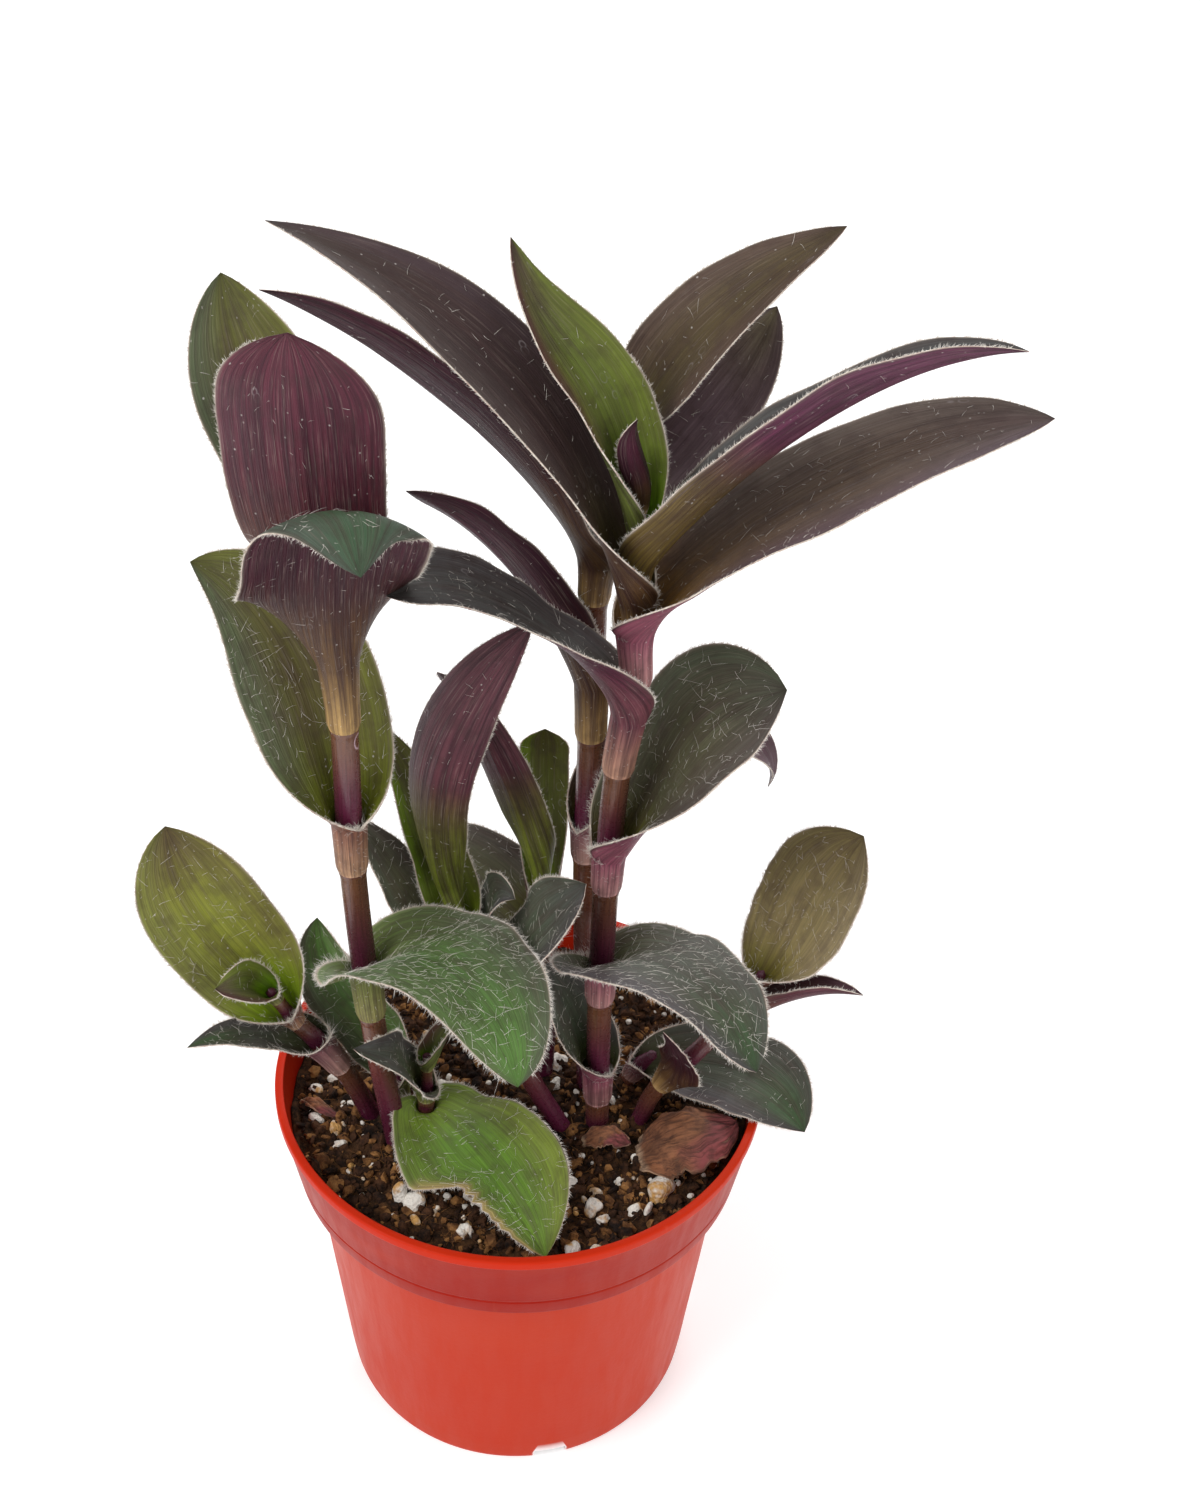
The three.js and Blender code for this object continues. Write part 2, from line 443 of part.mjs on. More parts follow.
/**
 * Rows of a thin sheet as one closed solid. The first rows, as many as `closed` says, are
 * rings, and the last one is the leaf's point.
 */
function sheetGeometry(leaf, rows, closed) {
  const grid = rows.map((row) => rowPoints(leaf, row));
  const last = rows.length - 1;
  const columns = LEAF_COLUMNS;
  const vertices = [];
  const upper = [];
  const lower = [];

  const edge = (i, j) => {
    const ring = i < closed;
    const before = j > 0 ? grid[i][j - 1] : grid[i][ring ? columns - 1 : 0];
    const after = j < columns ? grid[i][j + 1] : grid[i][ring ? 1 : columns];
    return after.clone().sub(before);
  };
  const rise = (i, j) => grid[Math.min(i + 1, last)][j].clone().sub(grid[Math.max(i - 1, 0)][j]);
  for (let i = 0; i < last; i += 1) {
    upper[i] = [];
    lower[i] = [];
    for (let j = 0; j <= columns; j += 1) {
      if (i < closed && j === columns) {
        upper[i][j] = upper[i][0];
        lower[i][j] = lower[i][0];
      } else {
        const along = rise(i, j);
        if (i < closed && j === 0) along.add(rise(i, columns));
        const normal = along.cross(edge(i, j)).normalize().multiplyScalar(LEAF_THICKNESS / 2);
        upper[i][j] = vertices.push(grid[i][j].clone().add(normal)) - 1;
        lower[i][j] = vertices.push(grid[i][j].clone().sub(normal)) - 1;
      }
    }
  }
  const tipOffset = rows[last].inward.clone().multiplyScalar(TIP_THICKNESS / 2);
  const tipUp = vertices.push(rows[last].point.clone().add(tipOffset)) - 1;
  const tipDown = vertices.push(rows[last].point.clone().sub(tipOffset)) - 1;

  const triangles = [];
  const quad = (a, b, c, d) => triangles.push([a, b, c], [a, c, d]);
  for (let i = 0; i + 1 < last; i += 1) {
    for (let j = 0; j < columns; j += 1) {
      quad(upper[i][j], upper[i][j + 1], upper[i + 1][j + 1], upper[i + 1][j]);
      triangles.push(
        [lower[i][j], lower[i + 1][j + 1], lower[i][j + 1]],
        [lower[i][j], lower[i + 1][j], lower[i + 1][j + 1]],
      );
    }
  }
  for (let j = 0; j < columns; j += 1) {
    triangles.push([upper[last - 1][j], upper[last - 1][j + 1], tipUp]);
    triangles.push([lower[last - 1][j + 1], lower[last - 1][j], tipDown]);
    quad(upper[0][j + 1], upper[0][j], lower[0][j], lower[0][j + 1]);
  }
  for (let i = Math.max(closed - 1, 0); i + 1 < last; i += 1) {
    quad(upper[i][0], upper[i + 1][0], lower[i + 1][0], lower[i][0]);
    quad(upper[i + 1][columns], upper[i][columns], lower[i][columns], lower[i + 1][columns]);
  }
  quad(upper[last - 1][0], tipUp, tipDown, lower[last - 1][0]);
  quad(tipUp, upper[last - 1][columns], lower[last - 1][columns], tipDown);
  return geometryOf(vertices, triangles);
}

function leafGeometry(leaf) {
  const { rows, closed } = leafRows(leaf);
  return sheetGeometry(leaf, rows, closed);
}

/** A dead blade that lies on the soil along a bent path, wide in the middle. */
function looseGeometry(leaf) {
  const midrib = new THREE.CatmullRomCurve3(leaf.path.map((point) => new THREE.Vector3(...point)));
  const rows = [];
  for (let k = 0; k <= ROWS_LARGE; k += 1) {
    const share = k / ROWS_LARGE;
    const along = midrib.getTangentAt(share);
    const inward = squareTo(UP, along);
    rows.push({
      point: midrib.getPointAt(share),
      inward,
      across: along.clone().cross(inward),
      half: Math.max(TIP_HALF, leaf.half * Math.sin(Math.PI * (0.08 + 0.92 * share)) ** 0.6),
      turn: leaf.fold * DEG,
      share,
    });
  }
  return sheetGeometry(leaf, rows, 0);
}

// ---------------------------------------------------------------- stems
function stemGeometry(points) {
  const bottom = SOIL_LEVEL - STEM_DEPTH;
  const heights = [bottom, points[0][2]];
  for (let i = 0; i + 1 < points.length; i += 1) {
    const [low, high] = [points[i][2], points[i + 1][2]];
    const pieces = Math.max(1, Math.round((high - low) / 14));
    for (let k = 1; k <= pieces; k += 1) heights.push(low + ((high - low) * k) / pieces);
  }
  const rings = heights.map((z) => {
    const centre = stemAt(points, z);
    const along = stemDirection(points, z);
    const side = squareTo(new THREE.Vector3(1, 0, 0), along);
    const front = along.clone().cross(side);
    const radius = stemRadius(points, z);
    return Array.from({ length: STEM_SIDES }, (_, j) => {
      const angle = (2 * Math.PI * j) / STEM_SIDES;
      return centre.clone()
        .addScaledVector(side, radius * Math.cos(angle))
        .addScaledVector(front, radius * Math.sin(angle));
    });
  });
  return ringSolid(rings);
}

// ---------------------------------------------------------------- pot and soil
const COLLAR_FOOT = POT_HEIGHT - COLLAR_DEPTH;
/** Inside radius of the pot at a height above its floor. */
function innerRadius(z) {
  if (z > COLLAR_FOOT + WALL) {
    const share = (z - COLLAR_FOOT - WALL) / (COLLAR_DEPTH - WALL - LIP_DEPTH);
    return COLLAR_FOOT_RADIUS - WALL + (RIM_RADIUS - COLLAR_FOOT_RADIUS) * Math.min(1, share);
  }
  return BASE_RADIUS - WALL + ((WALL_TOP_RADIUS - BASE_RADIUS) * z) / COLLAR_FOOT;
}

function potGeometry() {
  const profile = [
    [0, 0],
    [BASE_RADIUS - BASE_CHAMFER, 0],
    [BASE_RADIUS, BASE_CHAMFER],
    [WALL_TOP_RADIUS, COLLAR_FOOT],
    [COLLAR_FOOT_RADIUS, COLLAR_FOOT],
    [RIM_RADIUS - LIP_ROUND, POT_HEIGHT - LIP_DEPTH],
    [RIM_RADIUS, POT_HEIGHT - LIP_DEPTH + LIP_ROUND],
    [RIM_RADIUS, POT_HEIGHT - LIP_ROUND],
    [RIM_RADIUS - LIP_ROUND, POT_HEIGHT],
    [RIM_RADIUS - LIP_WIDTH, POT_HEIGHT],
    [innerRadius(POT_HEIGHT - LIP_DEPTH), POT_HEIGHT - LIP_DEPTH],
    [innerRadius(COLLAR_FOOT + WALL + 0.01), COLLAR_FOOT + WALL],
    [innerRadius(COLLAR_FOOT), COLLAR_FOOT + WALL],
    [innerRadius(FLOOR), FLOOR],
    [0, FLOOR],
  ].map(([r, z]) => new THREE.Vector2(r, z));
  const lathe = new THREE.LatheGeometry(profile, POT_SIDES);
  lathe.rotateX(Math.PI / 2);
  let pot = toManifold(lathe);
  for (let i = 0; i < DRAIN_COUNT; i += 1) {
    const notch = new THREE.BoxGeometry(2 * DRAIN_REACH, DRAIN_WIDTH, 2 * DRAIN_HEIGHT);
    notch.translate(BASE_RADIUS, 0, 0);
    notch.rotateZ((DRAIN_FIRST_DEG + (360 * i) / DRAIN_COUNT) * DEG);
    pot = pot.subtract(toManifold(notch));
  }
  return fromManifold(pot);
}

/** Places of the white grains on the soil, spread by a seeded draw. */
function perliteGrains() {
  const random = makeRandom(7);
  return Array.from({ length: PERLITE_COUNT }, () => {
    const radius = 46 * Math.sqrt(random());
    const angle = 2 * Math.PI * random();
    return { x: radius * Math.cos(angle), y: radius * Math.sin(angle), size: 1.6 + 1.6 * random() };
  });
}

function soilHeight(x, y, grains) {
  let height = SOIL_BUMP * (0.45 * Math.sin(0.55 * x + 1.1) * Math.cos(0.48 * y)
    + 0.35 * Math.sin(0.31 * x - 0.72 * y) + 0.2 * Math.cos(0.9 * x + 0.6 * y));
  for (const grain of grains) {
    const distance = Math.hypot(x - grain.x, y - grain.y) / grain.size;
    if (distance < 1.5) height += PERLITE_HEIGHT * Math.exp(-2 * distance * distance);
  }
  return SOIL_LEVEL + height;
}

function soilGeometry() {
  const grains = perliteGrains();
  const bottom = FLOOR + FIT_GAP;
  const ringAt = (radius, height) => Array.from({ length: SOIL_SIDES }, (_, j) => {
    const angle = (2 * Math.PI * j) / SOIL_SIDES;
    const [x, y] = [radius * Math.cos(angle), radius * Math.sin(angle)];
    return new THREE.Vector3(x, y, typeof height === 'number' ? height : height(x, y));
  });
  const step = COLLAR_FOOT + WALL + FIT_GAP;
  const top = innerRadius(SOIL_LEVEL) - FIT_GAP;
  const rings = [
    ringAt(innerRadius(bottom) - FIT_GAP, bottom),
    ringAt(innerRadius(COLLAR_FOOT) - FIT_GAP, step),
    ringAt(innerRadius(step) - FIT_GAP, step),
    ringAt(top, SOIL_LEVEL),
  ];
  for (let i = SOIL_RINGS; i >= 1; i -= 1) {
    rings.push(ringAt((top - 1) * (i / SOIL_RINGS), (x, y) => soilHeight(x, y, grains)));
  }
  let soil = toManifold(ringSolid(rings));
  for (const points of Object.values(STEMS)) {
    const low = stemAt(points, SOIL_LEVEL - STEM_DEPTH - 1);
    const high = stemAt(points, SOIL_LEVEL + 5);
    const along = high.clone().sub(low);
    const holeRadius = points[0][3] + FIT_GAP;
    const hole = new THREE.CylinderGeometry(holeRadius, holeRadius, along.length(), 12);
    hole.rotateX(Math.PI / 2);
    hole.applyQuaternion(new THREE.Quaternion().setFromUnitVectors(UP, along.clone().normalize()));
    const middle = low.clone().add(high).multiplyScalar(0.5);
    hole.translate(middle.x, middle.y, middle.z);
    soil = soil.subtract(toManifold(hole));
  }
  return fromManifold(soil);
}

// ---------------------------------------------------------------- the assembly
const plant = new THREE.Group();

function addPiece(name, geometry, colour, roughness) {
  const material = new THREE.MeshStandardMaterial({ color: COLOURS[colour], roughness, metalness: 0 });
  const mesh = new THREE.Mesh(geometry, material);
  mesh.name = name;
  plant.add(mesh);
}

addPiece('pot', potGeometry(), 'pot', 0.45);
addPiece('soil', soilGeometry(), 'soil', 0.95);
for (const [name, points] of Object.entries(STEMS)) {
  addPiece(`stem_${name}`, stemGeometry(points), 'stem', 0.4);
}
for (const [name, leaf] of Object.entries(LEAVES)) {
  const full = { ...LEAF_DEFAULTS, ...leaf };
  addPiece(name, leafGeometry(full), full.colour, 0.6);
}
for (const [name, leaf] of Object.entries(LOOSE_LEAVES)) {
  addPiece(name, looseGeometry(leaf), leaf.colour, 0.9);
}

export default plant;
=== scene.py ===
"""The looks of the potted tradescantia: veined and hairy leaves, ribbed sheaths, glossy stems, peat
with perlite and a moulded nursery pot. The tables are in millimetres, in the CAD model's frame:
the origin is the centre of the pot's bottom, +Z is up, and -Y is towards the viewer."""
import math
import random

import bpy
import numpy as np
from mathutils import Matrix, Vector


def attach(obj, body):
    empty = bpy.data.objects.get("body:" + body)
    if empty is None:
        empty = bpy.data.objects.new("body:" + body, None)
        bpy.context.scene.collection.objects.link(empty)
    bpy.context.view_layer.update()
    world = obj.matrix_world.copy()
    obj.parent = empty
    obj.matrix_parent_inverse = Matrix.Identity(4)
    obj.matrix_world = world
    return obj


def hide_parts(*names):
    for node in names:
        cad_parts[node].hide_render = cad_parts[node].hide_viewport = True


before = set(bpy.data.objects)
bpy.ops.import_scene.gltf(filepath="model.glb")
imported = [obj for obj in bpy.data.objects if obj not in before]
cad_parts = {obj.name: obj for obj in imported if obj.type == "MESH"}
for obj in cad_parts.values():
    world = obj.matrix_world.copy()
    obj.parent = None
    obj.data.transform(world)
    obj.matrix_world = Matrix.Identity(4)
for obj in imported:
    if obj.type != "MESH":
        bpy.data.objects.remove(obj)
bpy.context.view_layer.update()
MM = 0.001

# ---------------------------------------------------------------- the plant's tables (mm)
STEMS = {
    "left": [(-26, -14, 78, 2.4), (-30, -14, 113, 2.4), (-32.5, -14.5, 157, 2.4), (-32.5, -15, 192, 2.4),
        (-33, -15, 207, 2.2), (-33.5, -15.5, 213, 1.5), (-34.5, -15.5, 224, 1.0), (-35.5, -15, 233, 0.8)],
    "front": [(17.6, -6, 78, 2.4), (17, -7, 115, 2.4), (17.3, -7, 148, 2.4), (18.5, -7, 178, 2.4),
        (21, -7, 199, 2.4), (20.5, -7, 209, 1.8), (20.5, -7, 219, 1.4), (20.5, -7, 227, 0.9),
        (20.5, -6, 238, 0.5)],
    "back": [(15.3, 5, 78, 2.4), (13, 5, 139, 2.4), (13, 5, 177, 2.4), (12.7, 5, 209, 2.4),
        (13.2, 6, 217, 2.0), (14, 7.5, 224, 1.3), (15, 9, 230, 0.9), (16, 10, 237, 0.7)],
    "centre": [(9.4, -7.5, 78, 2), (3, -6, 90, 2), (-4, -3, 106, 2), (-11, -0.5, 124, 1.4),
        (-15, 0, 140, 0.6)],
    "rear": [(5, 8, 78, 2), (5.5, 8, 105, 2), (4.5, 7, 123, 1.8), (4, 7, 131, 1.2), (3.5, 7, 142, 0.8)],
    "small": [(-20.4, -10.2, 78, 1.8), (-19.8, -10.8, 89, 1.6), (-19.6, -11.4, 96, 1.1),
        (-19.2, -12, 103, 0.8)],
    "low": [(-33, -6, 78, 2), (-37, -7, 90, 2), (-43, -9, 103, 2), (-47.5, -9.7, 110, 1.5),
        (-52, -10.5, 119, 0.8)],
    "right": [(27, -5, 78, 1.8), (30, -5.5, 88, 1.8), (37, -5, 98, 1.8), (43, -3, 105, 1.7),
        (48, -1.5, 113, 1.3), (51.5, 0, 120, 0.8)],
    "side": [(24, 7, 78, 1.8), (27, 6.5, 84, 1.6), (30, 6, 88, 0.8)],
    "inner": [(-26, -4.5, 78, 1.6), (-27, -4, 88, 1.4), (-28, -3, 96, 0.8)],
}

LEAF_FIELDS = ("stem", "z", "sheath", "az", "tip", "endPitch", "half", "skin", "under", "hairy", "colour")
LEAF_DEFAULTS = dict(leave=0.35, arrive=0.4, widest=0.45, taper=1.8, fold=70, foldTip=40, open=0.3, roll=0,
    rollMid=0, wave=0.5, waves=1.5, bite=None, flare=0.3, lean=0.2)
LEAVES = {}


def leaf(name, *values, **rest):
    """Notes a leaf: its stem, node height, sheath length, bearing, tip, pitch at the tip, half width,
    upper skin, under side, how hairy it is (0 to 1) and the colour slot of its plain solid, which is not
    used."""
    LEAVES["leaf_" + name] = {**LEAF_DEFAULTS, **dict(zip(LEAF_FIELDS, values)), **rest}


leaf("left_1", "inner", 81, 5, 90, (-44, 6, 125), 50, 8, "green", "leafy", 0.35, "grey", fold=60, leave=0.3,
    open=0.4, lean=0.3, widest=0.6)
leaf("left_2", "left", 117, 13, -30, (2, -50, 135), -75, 20, "green", "leafy", 1.0, "green", fold=10,
    open=0.22, widest=0.38, taper=1.5, leave=0.5, arrive=0.45, endAz=-90, rollMid=-30, lean=0.5)
leaf("left_3", "left", 157, 12, 130, (-63.5, 8, 211.9), 5, 13.5, "olive", "maroon", 0.45, "olive",
    endAz=165, fold=50, leave=0.4, roll=-30, rollMid=-10)
leaf("left_4", "left", 192, 15, -90, (-23, -50, 247), -70, 16, "trumpet", "deep", 0.25, "grey", fold=-55,
    foldTip=-100, open=0.55, widest=0.6, leave=0.7, arrive=0.4, rollMid=17, flare=1, taper=2.4)
leaf("left_5", "left", 211, 7, -95, (-36, -26, 276), 95, 14.7, "dark", "maroon", 0.12, "maroon", fold=50,
    foldTip=30, widest=0.7, taper=2.8, leave=0.25, roll=-10, flare=1)
leaf("left_6", "left", 223, 6, 110, (-52, 4, 272), 50, 11, "olive", "maroon", 0.1, "olive", fold=50,
    open=0.35, widest=0.55, taper=2, roll=-10)
leaf("front_1", "front", 86, 9, 150, (5.3, -2, 122), 60, 9, "grey", "rose", 0.4, "grey", fold=90, open=0.5,
    widest=0.5)
leaf("front_2", "front", 117, 9, -50, (48, -38, 129), -55, 19, "slate", "rose", 0.9, "grey", fold=10,
    open=0.22, widest=0.38, taper=1.6, arrive=0.5, endAz=-50, rollMid=-15)
leaf("front_3", "front", 148, 9, 2, (50.1, 0, 193.6), 10, 15.5, "ash", "rose", 0.55, "grey", endAz=0,
    fold=50, open=0.55, widest=0.6, taper=2.4, leave=0.5, lean=0.4, roll=45)
leaf("front_4", "front", 178, 13, -155, (-23.1, -19, 223.4), -25, 11, "silver", "fold", 0.3, "grey",
    fold=60, open=0.45, widest=0.75, leave=0.3, arrive=0.25, roll=-10, taper=3)
leaf("front_5", "front", 199, 11, 0, (92, 4, 251), 8, 15.5, "gold_brown", "rose", 0.12, "olive", fold=60,
    open=0.18, widest=0.5, taper=1.7, leave=0.2, arrive=0.3, roll=20, flare=1.1)
leaf("front_6", "front", 211, 6, 186, (-43.7, 3, 281.9), 15, 10, "dark", "deep", 0.06, "dark", fold=60,
    taper=1.6, leave=0.33, roll=-20, flare=1.1, open=0.25, endAz=172, rollMid=-25, arrive=0.45)
leaf("front_7", "front", 219, 5, -20, (81, -16, 273), 8, 13.5, "silver", "magenta", 0.12, "maroon",
    fold=110, foldTip=120, widest=0.4, taper=1.5, leave=0.1, arrive=0.35, roll=-5, flare=1, open=0.2)
leaf("front_8", "front", 227, 4, 140, (-3, 0, 282), 70, 10, "fresh", "leafy", 0.06, "fresh", fold=120,
    open=0.4, widest=0.4, taper=1.35, leave=0.6, flare=0.8)
leaf("front_9", "front", 235, 2, -40, (19, -8, 254), 60, 4, "bud", "deep", 0.0, "fresh", fold=180, open=0.4,
    widest=0.4, flare=0)
leaf("back_1", "side", 80, 3, 10, (62.4, -16, 88.3), -25, 11, "slate", "plum", 0.3, "grey", endAz=-60,
    fold=30, leave=0.25, lean=0.9, arrive=0.4, open=0.4, rollMid=-14, widest=0.6, flare=0.3)
leaf("back_2", "back", 146, 8, 55, (51, 24, 151.2), -130, 5.5, "wine", "plum", 0.2, "maroon", fold=80,
    open=0.35, widest=0.75, leave=0.7, arrive=0.4, lean=0.1, taper=3)
leaf("back_3", "back", 177, 13, -165, (-21.7, 2, 232.5), 25, 10, "grey", "deep", 0.15, "maroon", fold=140,
    widest=0.4, taper=1.5, leave=0.15, roll=50)
leaf("back_4", "back", 209, 7.5, 178, (-45, 0, 271), 15, 11, "grey", "deep", 0.15, "maroon", fold=80,
    foldTip=80, taper=1.6, leave=0.15, arrive=0.3, roll=40, flare=1, open=0.15, rollMid=20)
leaf("back_5", "back", 220, 3, 50, (43.7, 26, 259.9), 50, 9, "dusk", "plum", 0.15, "dark", fold=50,
    widest=0.6, taper=2, leave=0.15, roll=10, flare=1, rollMid=15, open=0.2)
leaf("back_6", "back", 232, 3, 40, (53.4, 15, 280), 25, 10, "brown", "maroon", 0.08, "olive", endAz=20,
    fold=80, taper=1.5, roll=-10, leave=0.35)
leaf("centre_1", "centre", 103, 4, -23, (13.3, -15, 155.8), 50, 11, "grey", "plum", 0.5, "olive", fold=40,
    leave=0.3, roll=30, flare=0.8, endAz=20, widest=0.6, taper=2.6, open=0.5)
leaf("centre_2", "centre", 112, 4, 165, (-35.3, 6, 153.6), 55, 8, "ash", "plum", 0.45, "dark", fold=60,
    leave=0.15, flare=0.8, lean=0.8, roll=-10)
leaf("centre_3", "centre", 119, 3, 10, (-1, -7, 144), -20, 6.5, "grey", "leafy", 0.4, "grey", fold=60,
    leave=0.2, flare=0.8, lean=0.8, open=0.4, endAz=-40)
leaf("centre_4", "centre", 125, 3, 113, (-30.6, 14, 172), 40, 6, "moss", "leafy", 0.35, "olive", leave=0.2,
    flare=0.8, lean=0.3, fold=50, roll=25, endAz=140)
leaf("centre_5", "centre", 131, 4, -120, (2, -8, 212), 50, 8, "dark", "green_base", 0.1, "maroon", endAz=0,
    fold=100, open=0.4, widest=0.55, leave=0.3, arrive=0.45, lean=0.1)
leaf("rear_1", "rear", 117, 4, 135, (-24.2, 30, 129.9), -20, 11, "ash", "plum", 0.4, "grey", fold=30,
    leave=0.1, flare=0.8, widest=0.3, roll=-15, open=0.4, lean=1)
leaf("rear_2", "rear", 123, 5, 90, (3.1, 30, 159.7), 110, 5.5, "moss", "maroon", 0.1, "olive", fold=60,
    leave=0.2, flare=0.8, lean=0.4, widest=0.85, taper=3, open=0.8, arrive=0.5)
leaf("rear_3", "rear", 134, 5, -112, (-16.6, 0, 194.5), 45, 6, "brown", "green_base", 0.1, "olive", fold=90,
    taper=1.4, leave=0.3)
leaf("small_1", "small", 81, 5, -60, (8, -48, 83), -30, 16.5, "bitten", "leafy", 0.45, "green", endAz=-50,
    fold=10, open=0.12, widest=0.5, taper=2.2, leave=0.12, arrive=0.5, lean=0.6, bite=(0.42, 0.6), roll=15)
leaf("small_2", "small", 89, 3, -160, (-32.3, -28, 120.7), 0, 7.5, "grey", "leafy", 0.3, "green", fold=70,
    lean=0.4, endAz=170, leave=0.3, open=0.35)
leaf("small_3", "small", 99, 2, 30, (-14, -6, 108), 50, 4, "fresh", "leafy", 0.2, "fresh", fold=180)
leaf("low_1", "low", 94, 9, -165, (-67, -24, 115), -20, 5.2, "slate", "plum", 0.6, "grey", fold=60,
    leave=0.2, flare=0.8, lean=0.5, roll=20)
leaf("low_2", "low", 109, 3, 115, (-73, 2, 152), 45, 12.5, "olive_bright", "maroon", 0.4, "olive", fold=40,
    widest=0.55, taper=2.6, leave=0.3, flare=1, lean=0.4)
leaf("low_3", "low", 116, 2, -170, (-61, -20, 128), 0, 6, "fresh", "leafy", 0.2, "fresh", fold=160)
leaf("right_1", "right", 90, 4, -130, (30.6, -12, 112.9), 60, 6, "wine", "deep", 0.2, "maroon", endAz=180,
    fold=60, foldTip=0, open=0.2, widest=0.2, taper=1, flare=1.4)
leaf("right_2", "right", 107, 3, -15, (72, -8, 122), -5, 8, "wine", "maroon", 0.2, "maroon", fold=170,
    foldTip=150, widest=0.2, taper=1.2, leave=0.12, flare=0.8, lean=0.2)
leaf("right_3", "right", 114, 3, 20, (70.7, 12, 148.6), 45, 14, "olive_tan", "maroon", 0.6, "olive",
    fold=50, widest=0.5, taper=2.6, roll=22)

LOOSE_LEAVES = {
    "leaf_dead_1": dict(path=[(26.5, -16.5, 80.2), (32, -16, 86.2), (40, -15, 88.4), (48, -11, 85)],
        half=10.8, fold=-110, wave=1.2, colour="dead"),
    "leaf_dead_2": dict(path=[(14.5, -13.5, 79.6), (19.5, -13, 82.3), (25, -14.5, 80.6)], half=3.2,
        fold=-70, wave=0.5, colour="dead"),
    "leaf_dead_3": dict(path=[(-48.5, -4, 78.7), (-45, -6, 80.4), (-39, -9, 78.5)], half=1.6, fold=-60,
        wave=0.5, colour="maroon"),
}

# ---------------------------------------------------------------- driving dimensions (mm)
RIM_RADIUS = 54
POT_HEIGHT = 88
COLLAR_DEPTH = 21
COLLAR_FOOT = POT_HEIGHT - COLLAR_DEPTH
COLLAR_FOOT_RADIUS = 50.3
WALL_TOP_RADIUS = 46.9
BASE_RADIUS = 40.3
WALL = 1.3
LIP_WIDTH = 2.0
LIP_DEPTH = 2.4
FLOOR = 1.8
DRAIN_COUNT = 4
DRAIN_WIDTH = 7.5
DRAIN_REACH = 7
DRAIN_HEIGHT = 2.6
DRAIN_FIRST_DEG = -76
SHARP_DEG = 40              # edges of the pot that turn more than this stay crisp
SEAM = ((4.2, 0), (4.5, 0.16), (4.9, 0.16), (5.2, 0))   # fine line round the collar: height, depth

SOIL_LEVEL = 78
SOIL_GAP = 0.15             # between the peat and the pot's wall
SOIL_CUP = 66.0             # bottom of the peat's plain cup
SHEATH_GAP = 0.6            # from the stem's surface to the middle of the sheath
STEM_SWELL = 0.2            # the real stem fills its sheath more closely
ROW_SPREAD = 1.15           # rows lie closer together near the mouth
ROW_PITCH = 1.2             # between two rows of a leaf
TIP_HALF = 0.02
BLADE_THICKNESS = 0.5
MARGIN_THICKNESS = 0.28
DEAD_HALF_THICKNESS = 0.15
MARGIN_HAIR_RADIUS = 0.045
UPPER_HAIR_RADIUS = 0.034
UNDER_HAIR_RADIUS = 0.03
SHEATH_HAIR_RADIUS = 0.035
BEARDED_HALF = 5            # half the girth of the smallest sheath that has a beard
STEM_STEP = 0.8             # between two rings of a stem
STEM_TIP = 0.4
NODE_SWELL = 0.22
THREAD_COUNT = 900          # peat threads
THREAD_REACH = 46
THREAD_LIMIT = 48

# The larger grains of perlite in sight: place and radius.
PERLITE = [
    (-40.2, -11.9, 1.3), (-5.2, -30.7, 1.8), (-7.1, -31.6, 1.4), (-9.1, -38.9, 1.4),
    (31.8, -25.8, 2.5), (13.3, -42.7, 1.6), (18.2, -41.4, 1.4), (27.2, -17.6, 1.3),
    (17.3, -31.1, 1.5), (12.2, -24.3, 1.2), (8.8, -5.8, 1.6), (-30.7, -22.3, 1.2),
    (-24.1, -29.5, 1.9), (-20.4, -30.6, 1.8), (23.0, -23.7, 1.1), (7.8, 4.2, 1.5),
    (-45.9, 0.2, 1.5), (-9.0, -28.7, 1.5), (19.5, -34.0, 1.3), (-37.3, -3.8, 1.0),
    (-20.0, -36.0, 1.1), (29.0, -31.6, 1.2),
]

# Loose matter on the peat: name, material, count, sizes, level of detail, seed, stretch, raggedness, how
# far it is sunk in, and given places.
GRAINS = [
    ("crumbs_dark", "crumb_dark", 2600, (0.5, 1.5), 1, 11, 0.6, 0.3, 0.3, ()),
    ("crumbs_light", "crumb_light", 1300, (0.4, 1.5), 1, 12, 0.6, 0.3, 0.3, ()),
    ("perlite_grains", "perlite", 260, (0.35, 1.0), 2, 13, 0.3, 0.18, 0.3, ()),
    ("perlite_chunks", "perlite", 20, (1.2, 2.0), 3, 14, 0.4, 0.34, 0.3, ()),
    ("perlite_named", "perlite", len(PERLITE), (1, 1), 3, 15, 0.35, 0.38, 0.25, PERLITE),
]

DEG = math.pi / 180
MARGIN = (0.93, 0.975, 1.0)
INNER = np.linspace(-0.86, 0.86, 21)
ACROSS = np.concatenate([-np.array(MARGIN[::-1]), INNER, np.array(MARGIN)])


# ---------------------------------------------------------------- colours
def linear(red, green, blue):
    """A colour as the eye reads it, 0 to 255, as scene-linear values."""
    values = [channel / 255 for channel in (red, green, blue)]
    return np.array([v / 12.92 if v <= 0.04045 else ((v + 0.055) / 1.055) ** 2.4 for v in values])


